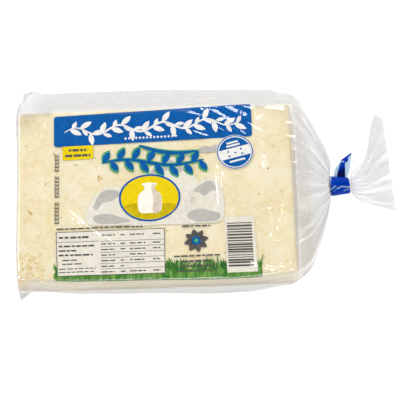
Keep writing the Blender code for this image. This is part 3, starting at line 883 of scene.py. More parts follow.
def curd_relief(place, pits):
    """How far the cut face lies in or out at a place, in metres."""
    at = place / MM
    slow = noise.noise(at / SLOW_DENTS[0]) * SLOW_DENTS[1]
    slow += noise.noise(at / SMALL_DENTS[0] + Vector((9, 2, 5))) * SMALL_DENTS[1]
    grain = noise.turbulence(at / GRAIN[0], 3, False) * GRAIN[1]
    corner = max(0.0, 1 - (CRUMBLED_CORNER - at).length / CRUMBLE_REACH)
    crumble = corner * (0.5 + noise.noise(at / CRUMBLE_SIZE)) * -CRUMBLE_DEPTH
    pit = sum(max(0.0, 1 - (centre - at).length / size) for centre, size in pits)
    return (slow - grain + crumble - PIT_DEPTH * pit) * MM


def shape_cheese(bm):
    """Cuts the block, gives it a fine lattice, leans it and roughens it."""
    size = Matrix.Diagonal((BLOCK_LENGTH, BLOCK_WIDTH, BLOCK_HEIGHT, 1))
    bmesh.ops.create_cube(bm, size=1, matrix=size)
    bmesh.ops.bevel(bm, geom=bm.edges[:], offset=CHEESE_EDGE, segments=3, profile=0.5,
                    affect="EDGES", material=-1)
    for axis, cuts in enumerate(CHEESE_CUTS):
        long_edges = [e for e in bm.edges
                      if abs(e.verts[0].co[axis] - e.verts[1].co[axis]) > 5 * CHEESE_EDGE]
        bmesh.ops.subdivide_edges(bm, edges=long_edges, cuts=cuts)
    random = np.random.default_rng(PIT_SEED)
    pits = [(Vector((random.uniform(*PIT_X), random.uniform(*PIT_Y), BLOCK_HEIGHT / MM)),
             random.uniform(*PIT_SIZES)) for _ in range(PITS)]
    for vert in bm.verts:
        x, y, z = vert.co
        vert.co = lean((2 * x / BLOCK_LENGTH, 2 * y / BLOCK_WIDTH, z / BLOCK_HEIGHT + 0.5))
    bm.normal_update()
    moves = [vert.normal * curd_relief(vert.co, pits) for vert in bm.verts]
    for vert, move in zip(bm.verts, moves):
        vert.co += move
        vert.co.z = max(vert.co.z, CHEESE_FOOT)
    bmesh.ops.recalc_face_normals(bm, faces=bm.faces)


# %% [markdown]
# ## Ivory curd
# Hard white cheese from cow's milk, pressed and salted: a matt ivory with a warmer yellow
# where the fat has come to the face, and a few brown specks. Its foot is painted darker, as
# painted shade by the table, and its right end face is paler and less yellow. Some light goes
# in and comes out again, which softens small shadows, so the shader has a little subsurface.

# %% Cheese material
cheese_material, tree, output = start_material("pressed ivory curd")
place = add_node(tree, "TexCoord").outputs["Object"]
clouds = add_node(tree, "TexNoise", {
    "Vector": place, "Scale": 60.0, "Detail": 4.0, "Roughness": 0.6})
curds = add_node(tree, "TexNoise", {
    "Vector": place, "Scale": 430.0, "Detail": 4.0, "Roughness": 0.65})
grains = add_node(tree, "TexNoise", {"Vector": place, "Scale": 1100.0, "Detail": 2.0})
warm = add_node(tree, "MapRange", {"Value": clouds, "From Min": 0.36, "From Max": 0.64})
body = add_node(tree, "MixRGB", {
    "Fac": warm, "Color1": linear("#e7d5a1"), "Color2": linear("#efe4c4")})
even = add_node(tree, "MapRange", {
    "Value": curds, "From Min": 0.38, "From Max": 0.62, "To Max": 0.6})
pale = add_node(tree, "MixRGB", {"Fac": even, "Color1": body, "Color2": linear("#f3ead0")})
fleck = add_node(tree, "TexNoise", {
    "Vector": place, "Scale": 170.0, "Detail": 3.0, "Roughness": 0.6})
speck = add_node(tree, "MapRange", {
    "Value": fleck, "From Min": 0.66, "From Max": 0.78, "To Max": 0.55})
curd_colour = add_node(tree, "MixRGB", {"Fac": speck, "Color1": pale, "Color2": linear("#d6ba77")})
spot = add_node(tree, "SeparateXYZ", {"Vector": place})
# Painted shade: the slab's foot is painted darker towards the table, below 8 mm.
painted_foot_shade = add_node(tree, "MapRange", {
    "Value": spot.outputs["Z"], "From Min": 1 * MM, "From Max": 8 * MM, "To Min": 0.5,
    "To Max": 0.0})
foot_shaded_colour = add_node(tree, "MixRGB", {
    "Fac": painted_foot_shade, "Color1": curd_colour, "Color2": linear("#bfae88")})
# The right end face is painted paler and less yellow.
paler_end = add_node(tree, "MapRange", {
    "Value": spot.outputs["X"], "From Min": 75.2 * MM, "From Max": 76.4 * MM, "To Max": 0.85})
end_colour = add_node(tree, "MixRGB", {
    "Fac": paler_end, "Color1": foot_shaded_colour, "Color2": linear("#f1e7dc")})
rise = add_node(tree, "Math", {0: grains, 1: 0.5, 2: curds}, operation="MULTIPLY_ADD")
pores = add_node(tree, "Bump", {"Strength": 0.6, "Distance": 0.4 * MM, "Height": rise})
curd = add_node(tree, "BsdfPrincipled", {
    "Base Color": end_colour, "Roughness": 0.62, "IOR": 1.45, "Subsurface Weight": 0.2,
    "Subsurface Scale": 1.2 * MM, "Normal": pores})
tree.links.new(curd.outputs["BSDF"], output.inputs["Surface"])

cheese_bm = bmesh.new()
shape_cheese(cheese_bm)
add_piece("cheese_slab", cheese_bm, cheese_material)

# %% [markdown]
# ## Flecks on the slab
# Bits of browned curd stick to the cut face: a few long ones and many small yellow ones,
# more of them at the crumbled corner, where pale crumbs of curd lie too. Each is a small
# ball, flattened and made uneven.

# %% Flecks
# x, y, length and width in mm, and turn in degrees
LARGE_FLECKS = (
    (-69.0, -9.9, 4.2, 1.4, -50), (-30.4, 8.3, 3.2, 1.5, 20), (-31.2, 9.6, 2.2, 1.0, 80),
    (-60.3, 6.4, 2.2, 1.4, 60), (-43.8, 17.2, 2.2, 0.8, -20), (62.4, 11.0, 1.8, 0.9, 15),
    (66.0, 24.0, 1.6, 0.8, 70), (56.5, -4.0, 1.5, 0.8, -35), (-71.5, 30.0, 1.7, 0.7, 10),
)
# More at random: seed, count, window (x0, x1, y0, y1) and length in mm
SMALL_FLECKS = (81, 40, (-74, 73, -48, 47), (0.5, 1.3))
CORNER_FLECKS = (82, 16, (-75, -62, -49, -34), (0.4, 1.0))
CORNER_CRUMBS = (83, 48, (-75, -61, -50, -33), (1.2, 3.4))
FLECK_RISE = 0.22 * MM
# Without a seed, noise_vector starts from the time of day and differs from run to run
RAGGED_SEED = 1
noise.seed_set(RAGGED_SEED)
# How ragged a fleck is: grain of the noise in mm, and its share of the fleck's width
RAGGED_GRAIN, RAGGED_SHARE = 0.9, 0.28
FLECK_SLIMNESS = (0.4, 0.8)


def add_fleck(bm, x, y, length, width, turn):
    """Lays one fleck on the cut face, also where the face dips."""
    spot = Vector((x * MM, y * MM, CHEESE_TOP))
    spot.z += min(0.0, curd_relief(spot, ())) + FLECK_RISE / 2
    place = Matrix.Translation(spot) @ Matrix.Rotation(math.radians(turn), 4, "Z")
    size = Matrix.Diagonal((length / 2 * MM, width / 2 * MM, FLECK_RISE, 1))
    ball = bmesh.ops.create_icosphere(bm, subdivisions=2, radius=1, matrix=place @ size)
    for vert in ball["verts"]:
        ragged = noise.noise_vector(vert.co / MM / RAGGED_GRAIN).xy
        vert.co.xy += ragged * width * RAGGED_SHARE * MM


def scatter_flecks(bm, seed, count, window, size):
    """Lays flecks at random in a window."""
    random = np.random.default_rng(seed)
    for _ in range(count):
        x, y = random.uniform(*window[:2]), random.uniform(*window[2:])
        length = random.uniform(*size)
        width = length * random.uniform(*FLECK_SLIMNESS)
        add_fleck(bm, x, y, length, width, random.uniform(0, 180))


def mix_crust(name, dark, light):
    """A matt crust that turns from dark to light in small clouds."""
    material, tree, output = start_material(name)
    place = add_node(tree, "TexCoord").outputs["Object"]
    browning = add_node(tree, "TexNoise", {"Vector": place, "Scale": 900.0})
    spread = add_node(tree, "MapRange", {"Value": browning, "From Min": 0.35, "From Max": 0.62})
    shade = add_node(tree, "MixRGB", {
        "Fac": spread, "Color1": linear(dark), "Color2": linear(light)})
    crust = add_node(tree, "BsdfPrincipled", {"Base Color": shade, "Roughness": 0.6})
    tree.links.new(crust.outputs["BSDF"], output.inputs["Surface"])
    return material


fleck_bm = bmesh.new()
for fleck_sizes in LARGE_FLECKS:
    add_fleck(fleck_bm, *fleck_sizes)
scatter_flecks(fleck_bm, *SMALL_FLECKS)
scatter_flecks(fleck_bm, *CORNER_FLECKS)
brown_crust = mix_crust("browned curd fleck", "#c08f3e", "#e3cd92")
add_piece("curd_flecks", fleck_bm, brown_crust)
crumb_bm = bmesh.new()
scatter_flecks(crumb_bm, *CORNER_CRUMBS)
pale_crust = mix_crust("pale yellow crumb", "#e3c581", "#f3e7c0")
add_piece("corner_crumbs", crumb_bm, pale_crust)

# %% [markdown]
# ## Laying ink under the film
# The bag is printed on the inside of its film, so each colour is a very thin field just
# below the film's top sheet. A field is drawn flat, in millimetres, from rounded patches,
# discs, leaves and strokes. It is then cut into a lattice, so that it can bend, and laid at
# the film's own height. Each further colour lies a few hundredths of a millimetre higher.
# The design is this lesson's own: plain fields, leaves and ruled lines.

# %% Drawing and laying a field of ink
INK_DEPTH, INK_STEP, INK_LATTICE = 0.17 * MM, 0.025 * MM, 1.6
DASH_LENGTHS, DASH_GAPS = (1.2, 4.2), (0.5, 0.9)
CUT_MARGIN = 1e-5
LABEL_FAR_INSET, LABEL_NEAR_INSET = 0.2 * MM, 0.3 * MM


def patch(bm, corners, rounding=0.0):
    """A flat field with straight sides between its corners, which may be rounded."""
    verts = [bm.verts.new((x, y, 0)) for x, y in corners]
    bm.faces.new(verts)
    if rounding:
        bmesh.ops.bevel(bm, geom=verts, offset=rounding, segments=5, profile=0.5,
                        affect="VERTICES", material=-1)


def turned_at(x, y, turn):
    """The place x, y, turned by an angle in degrees."""
    return Matrix.Translation((x, y, 0)) @ Matrix.Rotation(math.radians(turn), 4, "Z")


def bar(bm, x, y, length, height, turn=0.0):
    """A small bar that starts at x, y."""
    place = turned_at(x, y, turn) @ Matrix.Translation((length / 2, 0, 0))
    bmesh.ops.create_grid(bm, x_segments=1, y_segments=1, size=0.5,
                          matrix=place @ Matrix.Diagonal((length, height, 1, 1)))


def disc(bm, x, y, radius, height=None, segments=48):
    """A flat disc, or an oval where height gives its other radius."""
    place = Matrix.Translation((x, y, 0)) @ Matrix.Diagonal((1, (height or radius) / radius, 1, 1))
    return bmesh.ops.create_circle(bm, cap_ends=True, segments=segments, radius=radius,
                                   matrix=place)["verts"]


def leaf(bm, x, y, length, width, turn, segments=20):
    """A pointed leaf that grows from x, y at an angle in degrees."""
    place = turned_at(x, y, turn)
    for vert in disc(bm, 0, 0, length / 2, width / 2, segments):
        vert.co.y *= math.sqrt(max(0.0, 1 - (2 * vert.co.x / length) ** 2))
        vert.co = place @ (vert.co + Vector((length / 2, 0, 0)))


def stroke(bm, path, width, steps=60):
    """A ribbon along path, a function from 0 to 1 to a point, thinner towards its ends."""
    grid = bmesh.ops.create_grid(bm, x_segments=steps, y_segments=1, size=0.5)
    for vert in grid["verts"]:
        share = vert.co.x + 0.5
        point, ahead = Vector(path(share)), Vector(path(share + 0.01))
        aside = Vector((point.y - ahead.y, ahead.x - point.x)).normalized()
        thickness = 0.25 + 0.75 * math.sin(math.pi * min(share, 1)) ** 0.5
        point += aside * vert.co.y * width * thickness
        vert.co = (*point, 0)


def smooth_field(bm, points, segments=90):
    """A field with a smooth closed outline through the given points."""
    loop = np.array(points, float)
    for vert in bmesh.ops.create_circle(bm, cap_ends=True, segments=segments, radius=1)["verts"]:
        place = (math.atan2(vert.co.y, vert.co.x) / (2 * math.pi) % 1) * len(loop)
        index, t = int(place) % len(loop), place - int(place)
        around = (loop[(index + k) % len(loop)] for k in (-1, 0, 1, 2))
        vert.co = (*curve_through(*around, t), 0)


def dashes(bm, start, end, y, height, seed):
    """A row of dashes of uneven length."""
    random = np.random.default_rng(seed)
    x = start
    while x < end:
        length = min(random.uniform(*DASH_LENGTHS), end - x)
        bar(bm, x, y, length, height)
        x += length + random.uniform(*DASH_GAPS)


def draw_rows(bm, rows, seed):
    """Rows of dashes (start, end, y, height), each from its own seed."""
    for i, row in enumerate(rows):
        dashes(bm, *row, seed + i)


def edge_drop(far_gap, near_gap, rounding):
    """How far the film has turned down at these gaps inside the slab's two long edges."""
    far = FAR_FALL * rounding * np.clip((1 - far_gap / rounding) / 2, 0, 1) ** 2
    return far + NEAR_ROUNDING * (1 - np.sqrt(np.clip(near_gap / NEAR_ROUNDING, 0, 1))) ** 2


def cut(bm, at, across, **cleared):
    """Cuts the whole drawing along a plane, and clears one side of it if that is asked."""
    bmesh.ops.bisect_plane(bm, geom=bm.verts[:] + bm.edges[:] + bm.faces[:], dist=CUT_MARGIN,
                           plane_co=at, plane_no=across, **cleared)


def lay_ink(bm, layer):
    """Cuts the flat fields into a lattice and lays them under the film, on their layer."""
    bmesh.ops.triangulate(bm, faces=bm.faces[:])
    for axis in (0, 1):
        places = [vert.co[axis] for vert in bm.verts]
        first, last = math.ceil(min(places) / INK_LATTICE), math.floor(max(places) / INK_LATTICE)
        for step in range(first, last + 1):
            co, normal = Vector((0, 0, 0)), Vector((0, 0, 0))
            co[axis], normal[axis] = step * INK_LATTICE, 1
            cut(bm, co, normal)
    x, y = np.array([vert.co[:2] for vert in bm.verts]).T * MM
    far = SLAB_WIDTH / 2 + FILM_STANDOFF
    y = np.clip(y, near_edge(x) + LABEL_NEAR_INSET, far - LABEL_FAR_INSET)
    z = FILM_TOP + soft_waves(x, y) * slab_mask(x, y) - INK_DEPTH + layer * INK_STEP
    z = z - edge_drop(far - y, y - near_edge(x), along_bag(FAR_ROUNDING, x))
    for vert, co in zip(bm.verts, np.column_stack((x, y, z))):
        vert.co = co
    bmesh.ops.dissolve_degenerate(bm, edges=bm.edges, dist=WELD)
    bmesh.ops.recalc_face_normals(bm, faces=bm.faces)
    if sum(face.normal.z for face in bm.faces) < 0:
        bmesh.ops.reverse_faces(bm, faces=bm.faces)


def print_field(name, material, layer, draw):
    """One colour of the print: drawn flat, laid under the film, and made a piece."""
    bm = bmesh.new()
    draw(bm)
    lay_ink(bm, layer)
    add_piece(name, bm, material)


# %% [markdown]
# ## Inks
# Flexographic ink on film is opaque and even, with a faint mottle of a millimetre or two
# where the plate pressed unevenly. It is bonded to the film with no air between them, so it
# has no gloss of its own: the gloss that is seen belongs to the film above it.

# %% Ink materials
def mix_ink(name, colour, uneven, scale=420.0, stretch=(1, 1, 1)):
    """Printing ink whose colour drifts to an uneven shade, in patches set by scale."""
    material, tree, output = start_material(name)
    place = add_node(tree, "TexCoord").outputs["Object"]
    at = add_node(tree, "Mapping", {"Vector": place, "Scale": stretch})
    mottle = add_node(tree, "TexNoise", {"Vector": at, "Scale": scale, "Detail": 3.0})
    spread = add_node(tree, "MapRange", {"Value": mottle, "From Min": 0.35, "From Max": 0.65})
    shade = add_node(tree, "MixRGB", {
        "Fac": spread, "Color1": linear(colour), "Color2": linear(uneven)})
    rough = add_node(tree, "MapRange", {"Value": mottle, "To Min": 0.42, "To Max": 0.55})
    ink = add_node(tree, "BsdfPrincipled", {
        "Base Color": shade, "IOR": 1.5, "Roughness": rough, "Specular IOR Level": 0.0})
    tree.links.new(ink.outputs["BSDF"], output.inputs["Surface"])
    return material


blue_ink = mix_ink("blue flexographic ink", "#00569e", "#045fa9")
white_ink = mix_ink("opaque white ink", "#f2f1ec", "#e6e4dc")
cream_ink = mix_ink("off-white backing ink", "#ebe6d8", "#e2dccb")
grey_ink = mix_ink("light grey ink", "#b9b6ae", "#c3c0b8")
dark_ink = mix_ink("dark grey ink", "#504d49", "#625f5a")
yellow_ink = mix_ink("process yellow ink", "#efd409", "#e6cb07")
deep_yellow_ink = mix_ink("deep yellow ink", "#d3bd08", "#c0a908")
green_line_ink = mix_ink("bright green ink", "#3f9a63", "#57a86f")
leaf_green_ink = mix_ink("grass green ink", "#37782c", "#7ba551", scale=700.0,
                         stretch=(1, 0.25, 1))
deep_green_ink = mix_ink("deep green ink", "#266426", "#438036", scale=700.0,
                         stretch=(1, 0.3, 1))
churn_ink = mix_ink("warm grey ink", "#cfc2b2", "#bfb0a0")
print("inks", len([m for m in bpy.data.materials if m.name.endswith("ink")]))

# %% [markdown]
# ## The banner, its scroll and the tab
# A blue field with rounded corners runs along the far side, and leans a little because the
# film was pulled askew. A white scroll of leaves fills it, with a row of small diamonds
# below, and a yellow tab hangs from its left end.

# %% Banner
BANNER = ((-55.8, 28.2), (54.3, 30.5), (54.3, 50.4), (-55.9, 46.7))
SCROLL_START, SCROLL_LENGTH, SCROLL_WIDTH, SCROLL_LEAVES = -50.0, 97.5, 1.2, 17
SCROLL_Y, SCROLL_RISE, SCROLL_SWING, SCROLL_HALF_TURNS = 38.6, 0.035, 2.4, 8
# Two leaves grow from each place: offset, length, width, and turn off the stem
LEAF_PAIR = ((0, 7.6, 3.1, 52), (1.4, 5.4, 2.3, -38))
DIAMONDS, DIAMOND_START, DIAMOND_STEP = 15, -16.0, 2.0
DIAMOND_Y, DIAMOND_RISE, DIAMOND_WIDE, DIAMOND_HIGH = 32.2, 0.02, 0.7, 0.9
TAB = ((-51.0, 20.0), (-34.1, 20.5), (-34.0, 29.4), (-51.0, 29.4))
TAB_ROWS = ((-47.6, -37.8, 25.9, 1.5), (-49.6, -35.6, 22.7, 1.5))


def scroll_path(share):
    """The stem of the banner's scroll of leaves."""
    x = SCROLL_START + SCROLL_LENGTH * share
    swing = SCROLL_SWING * math.sin(share * SCROLL_HALF_TURNS * math.pi)
    return x, SCROLL_Y + SCROLL_RISE * x + swing


def draw_scroll(bm):
    stroke(bm, scroll_path, SCROLL_WIDTH, steps=150)
    for i in range(SCROLL_LEAVES):
        share = 0.03 + 0.94 * i / (SCROLL_LEAVES - 1)
        x, y = scroll_path(share)
        side = 1 if i % 2 else -1
        slope = math.degrees(math.atan2(math.cos(share * SCROLL_HALF_TURNS * math.pi), 1.6))
        for offset, length, width, turn in LEAF_PAIR:
            leaf(bm, x + offset, y, length, width, slope + side * turn)


def draw_diamonds(bm):
    for i in range(DIAMONDS):
        x = DIAMOND_START + DIAMOND_STEP * i
        y = DIAMOND_Y + DIAMOND_RISE * x
        patch(bm, ((x - DIAMOND_WIDE, y), (x, y - DIAMOND_HIGH),
                   (x + DIAMOND_WIDE, y), (x, y + DIAMOND_HIGH)))


print_field("banner", blue_ink, 1, lambda bm: patch(bm, BANNER, 1.6))
print_field("banner_scroll", white_ink, 3, draw_scroll)
print_field("banner_diamonds", white_ink, 3, draw_diamonds)
print_field("tab", yellow_ink, 0, lambda bm: patch(bm, TAB, 0.9))
print_field("tab_lines", dark_ink, 2, lambda bm: draw_rows(bm, TAB_ROWS, 3))

# %% [markdown]
# ## Hills, garland and medallion
# Three pale round hills with grey slopes, and two small clouds, lie behind a garland of blue
# leaves with green edges and an oval yellow medallion with a milk churn.

# %% Hills
HILLS = (
    ((-37, -18), (-36, -6), (-29, 2), (-20, 3), (-10, -4), (0, -12), (0, -19), (-18, -19.5)),
    ((-16, -19), (-13, -4), (-6, 10), (3, 18), (11, 19), (19, 12), (25, 1), (27, -12), (22, -19.6),
     (4, -20)),
    ((12, -19), (17, -5), (24, 4), (31, 6), (36, 0), (37.5, -10), (35, -19), (24, -20)),
)
GREY_HILLS = (
    ((-34, -8), (-30, 0), (-24, 1.6), (-19, -1), (-24, -5), (-29, -6), (-32, -10)),
    ((-4, 9), (3, 16.5), (10, 17.5), (16, 12), (11, 10), (6, 12), (1, 8)),
    ((21, -1), (26, 3.4), (31, 4.4), (34.6, -1), (31, -1), (27, -4), (24, -2)),
    ((-34, -14), (-27, -12.5), (-20, -14.5), (-14, -17), (-21, -18.6), (-32, -18)),
    ((17, -15), (23, -11.5), (30, -13), (35, -15), (33, -18.6), (22, -19)),
    ((24, 23.5), (27.5, 25.6), (31, 25), (34, 26), (36.4, 23.4), (31, 21.6), (26, 21.6)),
    ((15, 21.5), (18, 23.2), (20, 22.6), (22, 21), (18.6, 20)),
)


def draw_hills(bm, outlines):
    for outline in outlines:
        smooth_field(bm, outline)


print_field("hills", cream_ink, 0, lambda bm: draw_hills(bm, HILLS))
print_field("hill_shades", grey_ink, 1, lambda bm: draw_hills(bm, GREY_HILLS))


# %% Garland
GARLAND_LEAVES, GARLAND_TURNS = 14, (62, -58)
GARLAND_LONGEST, GARLAND_SHORTENING, GARLAND_LEAF_WIDTH = 8.6, 1.6, 3.5
GARLAND_STEM, SWEEP_STEM = 1.5, 2.0


def garland_path(share):
    """The garland's branch, from left to right under the banner."""
    return -29.5 + 56.5 * share, 17.6 - 1.2 * share + 1.8 * math.sin(share * 2.2 * math.pi)


def sweep_path(share):
    """The long stem over the garland."""
    return -8.5 + 32 * share, 27.2 - 4.4 * share - 2.6 * math.sin(share * math.pi)


def draw_garland(bm, edge):
    """The garland's leaves and stems, each wider by the given edge."""
    stroke(bm, garland_path, GARLAND_STEM + edge, steps=80)
    stroke(bm, sweep_path, SWEEP_STEM + edge)
    last = GARLAND_LEAVES - 1
    for i in range(GARLAND_LEAVES):
        x, y = garland_path(0.02 + 0.94 * i / last)
        size = GARLAND_LONGEST - GARLAND_SHORTENING * abs(2 * i / last - 1)
        leaf(bm, x - 0.4 * edge, y, size + edge, GARLAND_LEAF_WIDTH + edge, GARLAND_TURNS[i % 2])


print_field("garland_edges", green_line_ink, 3, lambda bm: draw_garland(bm, 1.3))
print_field("garland", blue_ink, 5, lambda bm: draw_garland(bm, 0.0))


# %% Medallion
MEDALLION = (-3.2, -4.0, 16.9, 13.9)
MEADOW = ((-17.5, -9), (-11, -7), (-4, -9.5), (3, -7.5), (11, -8.6), (9, -12.5), (3, -15.6),
          (-6, -16.2), (-13, -13.6))
CHURN = ((-9, -12), (-9.5, -3), (-6.5, 0.5), (-6.2, 2.5), (-7.4, 4.2), (-3.2, 5), (1.0, 4.2),
         (-0.2, 2.5), (0.1, 0.5), (3.1, -3), (2.6, -12), (-3.2, -13))
CHURN_SHADE = ((-1.5, -12.6), (-1.2, -4), (-2.2, 0), (-1.8, 3.6), (0.4, 3.9), (-0.4, 2.3),
               (0.0, 0.4), (2.9, -3), (2.4, -11.8))

x, y, across, up = MEDALLION
print_field("medallion_rim", blue_ink, 4, lambda bm: disc(bm, x, y, across, up, 72))
print_field("medallion", yellow_ink, 5, lambda bm: disc(bm, x, y, across - 1.1, up - 1.1, 72))
print_field("medallion_meadow", deep_yellow_ink, 6, lambda bm: smooth_field(bm, MEADOW, 70))
print_field("churn", cream_ink, 7, lambda bm: smooth_field(bm, CHURN, 80))
print_field("churn_shade", churn_ink, 8, lambda bm: smooth_field(bm, CHURN_SHADE, 60))

# %% [markdown]
# ## The roundel
# A blue disc in a thin double ring, crossed by a tilted white band with five small stars.
# The band is the white disc, cut by two planes.

# %% Roundel
ROUNDEL_X, ROUNDEL_Y, ROUNDEL_TILT = 44.4, 21.3, 13.0
STARS = ((-3.6, 0.9), (-3.6, -1.9), (0, -0.5), (3.6, 0.9), (3.6, -1.9))
STAR_POINTS, STAR_RADII = 5, (0.85, 0.42)
BAND_RADIUS, BAND_TOP, BAND_FOOT = 8.75, 2.6, -3.2
ROUNDEL_BARS, ROUNDEL_BAR_HEIGHT = ((-3.2, 5.9, 6.4), (-3.8, 4.1, 7.6), (-4.4, -5.2, 8.8)), 1.1


def draw_band(bm):
    disc(bm, 0, 0, BAND_RADIUS)
    for height, clear in ((BAND_TOP, True), (BAND_FOOT, False)):
        cut(bm, (0, height, 0), (0, 1, 0), clear_outer=clear, clear_inner=not clear)
    place_roundel(bm)


def draw_stars(bm):
    for x, y in STARS:
        points = []
        for k, radius in enumerate(STAR_RADII * STAR_POINTS):
            angle = k * math.pi / STAR_POINTS
            points.append((x + radius * math.sin(angle), y + radius * math.cos(angle)))
        patch(bm, points[::-1])
    place_roundel(bm)


def draw_roundel_bars(bm):
    for place_and_length in ROUNDEL_BARS:
        bar(bm, *place_and_length, ROUNDEL_BAR_HEIGHT)
    place_roundel(bm)


def place_roundel(bm):
    """Moves and tilts a drawing that was made round the origin."""
    bmesh.ops.transform(bm, matrix=turned_at(ROUNDEL_X, ROUNDEL_Y, ROUNDEL_TILT), verts=bm.verts)


ROUNDEL_DISCS = (
    ("roundel_outer_ring", white_ink, 2, 10.3), ("roundel_ring_line", blue_ink, 3, 10.0),
    ("roundel_inner_ring", white_ink, 4, 9.4), ("roundel", blue_ink, 5, 8.8),
)
for name, ink, layer, radius in ROUNDEL_DISCS:
    print_field(name, ink, layer, lambda bm: disc(bm, ROUNDEL_X, ROUNDEL_Y, radius, segments=64))
print_field("roundel_band", white_ink, 6, draw_band)
print_field("roundel_stars", blue_ink, 7, draw_stars)
print_field("roundel_bars", white_ink, 6, draw_roundel_bars)

# %% [markdown]
# ## Grass, panel, emblem and bar pattern
# A strip of grass runs along the near edge, with hundreds of thin blades in two greens. On
# it stand a ruled panel, a flower emblem between rows of dashes, and a pale panel of bars.

# %% Grass
GRASS = ((-55.7, -44.6), (-55.7, -50.6), (-20, -51.6), (20, -52.4), (56.6, -52.8), (56.6, -46.4))
ROOTS_X, ROOTS_Y, BLADE_WIDTHS = (-55.2, 56.0), (-48.0, -45.0), (0.5, 0.9)
BLADE_TURN, BLADE_SPREAD = 90, 14


def draw_blades(bm, seed, count, low, high):
    """Thin blades of grass at random along the strip."""
    random = np.random.default_rng(seed)
    for _ in range(count):
        x = random.uniform(*ROOTS_X)
        leaf(bm, x, random.uniform(*ROOTS_Y) - 0.015 * x, random.uniform(low, high),
             random.uniform(*BLADE_WIDTHS), random.normal(BLADE_TURN, BLADE_SPREAD), 8)


print_field("grass_strip", leaf_green_ink, 0, lambda bm: patch(bm, GRASS, 2.6))
print_field("grass_blades", leaf_green_ink, 1, lambda bm: draw_blades(bm, 61, 320, 3.0, 8.0))
print_field("grass_blades_deep", deep_green_ink, 2, lambda bm: draw_blades(bm, 62, 240, 2.0, 6.0))

# %% Ruled panel
PANEL = ((-53.6, -47.5), (4.3, -47.8), (4.4, -22.2), (-54.4, -22.4))
FRAME_LINE, TITLE_RULE = 0.35, (-54.0, -28.2, 22.5, 0.3)
PANEL_RULES = (-28.4, -31.6, -34.9, -38.0, -41.2, -44.3)
RULE_START, RULE_LENGTH, RULE_LINE = -30.5, 34.5, 0.25
# Rows of dashes at the left: start, end, y and height. At the right they stand in a grid.
LEFT_ROWS = ((-53.0, -36.5, -25.6, 1.15), (-53.0, -33.8, -30.6, 1.0), (-53.0, -43.5, -33.2, 0.95),
             (-53.0, -34.6, -35.8, 1.0), (-51.0, -43.0, -38.7, 0.7), (-51.0, -40.0, -40.9, 0.7),
             (-53.0, -33.0, -43.6, 0.55), (-53.0, -34.0, -45.5, 0.55))
GRID_ROWS = (-25.0, -30.0, -33.2, -36.4, -39.6, -42.8, -46.0)
GRID_COLUMNS = ((-30.0, -22.5), (-19.5, -17.0), (-14.5, -6.0), (-2.0, 2.0))
EMPTY_CELLS = ((3, 1), (3, 3), (5, 2), (5, 3))
CELL_DASH, LEFT_SEED, GRID_SEED = 0.7, 70, 90


def draw_panel_lines(bm):
    for start, end in zip(PANEL, PANEL[1:] + PANEL[:1]):
        run = Vector(end) - Vector(start)
        bar(bm, *start, run.length, FRAME_LINE, math.degrees(math.atan2(run.y, run.x)))
    bar(bm, *TITLE_RULE)
    for rule in PANEL_RULES:
        bar(bm, RULE_START, rule, RULE_LENGTH, RULE_LINE)


def draw_panel_rows(bm):
    draw_rows(bm, LEFT_ROWS, LEFT_SEED)
    for i, y in enumerate(GRID_ROWS):
        for j, (start, end) in enumerate(GRID_COLUMNS):
            if (i, j) not in EMPTY_CELLS:
                dashes(bm, start, end, y, CELL_DASH, GRID_SEED + 5 * i + j)


print_field("panel", cream_ink, 3, lambda bm: patch(bm, PANEL))
print_field("panel_lines", dark_ink, 4, draw_panel_lines)
print_field("panel_rows", dark_ink, 4, draw_panel_rows)
print_field("row_over_panel", dark_ink, 4, lambda bm: dashes(bm, -54.3, -7.6, -20.5, 0.7, 51))


# %% Edge marks, emblem and bars
# Start, end, y and height of each row over and under the flower
FLOWER_ROWS = ((14.2, 29.2, -21.5, 0.8), (9.3, 34.0, -38.6, 0.8), (13.2, 29.8, -41.6, 1.0),
               (12.6, 30.4, -44.4, 1.0), (11.2, 32.4, -47.2, 0.8))
FLOWER, PETALS, PETAL_SIZE, PETAL_TURN = (21.5, -30.0), 8, (6.8, 3.6), 12
# Edge marks: how many, the first one's y, their step, and the bars (x, rise, length, height)
EDGE_MARKS, EDGE_MARK_START, EDGE_MARK_STEP, EDGE_MARK_GAP = 19, -17.0, 2.2, 7
EDGE_MARK_BARS = ((-55.4, 0, 2.5, 0.6), (-55.4, 0.95, 1.1, 0.5), (-53.6, 0.95, 0.7, 0.5))
BAR_PANEL = ((37.7, -49.0), (54.2, -48.9), (53.2, -16.9), (37.2, -17.0))
BAR_HEIGHTS, BAR_GAPS, BAR_SEED = (0.3, 0.55, 0.8, 1.1), (0.3, 0.45, 0.7), 9
BAR_START_Y, BAR_END_Y, BAR_LENGTH, BAR_TURN = -20.4, -45.0, 13.6, -0.6


def draw_edge_marks(bm):
    for i in range(EDGE_MARKS):
        y = EDGE_MARK_START + EDGE_MARK_STEP * i
        if i % EDGE_MARK_GAP < EDGE_MARK_GAP - 1:
            for x, rise, length, height in EDGE_MARK_BARS:
                bar(bm, x, y + rise, length, height)


def draw_flower(bm):
    for k in range(PETALS):
        leaf(bm, *FLOWER, *PETAL_SIZE, 360 / PETALS * k + PETAL_TURN)


def draw_bars(bm):
    random = np.random.default_rng(BAR_SEED)
    y = BAR_START_Y
    while y > BAR_END_Y:
        height = random.choice(BAR_HEIGHTS)
        x = 38.3 + 0.01 * (-20 - y)
        bar(bm, x, y - height / 2, BAR_LENGTH, height, BAR_TURN)
        y -= height + random.choice(BAR_GAPS)


print_field("edge_marks", dark_ink, 2, draw_edge_marks)
print_field("flower", dark_ink, 2, draw_flower)
print_field("flower_heart", blue_ink, 3, lambda bm: disc(bm, *FLOWER, 2.5))
print_field("flower_dot", green_line_ink, 4, lambda bm: disc(bm, *FLOWER, 1.2))
print_field("rows_under_flower", dark_ink, 4, lambda bm: draw_rows(bm, FLOWER_ROWS, 120))
print_field("bar_panel", cream_ink, 3, lambda bm: patch(bm, BAR_PANEL))
print_field("bars", dark_ink, 4, draw_bars)

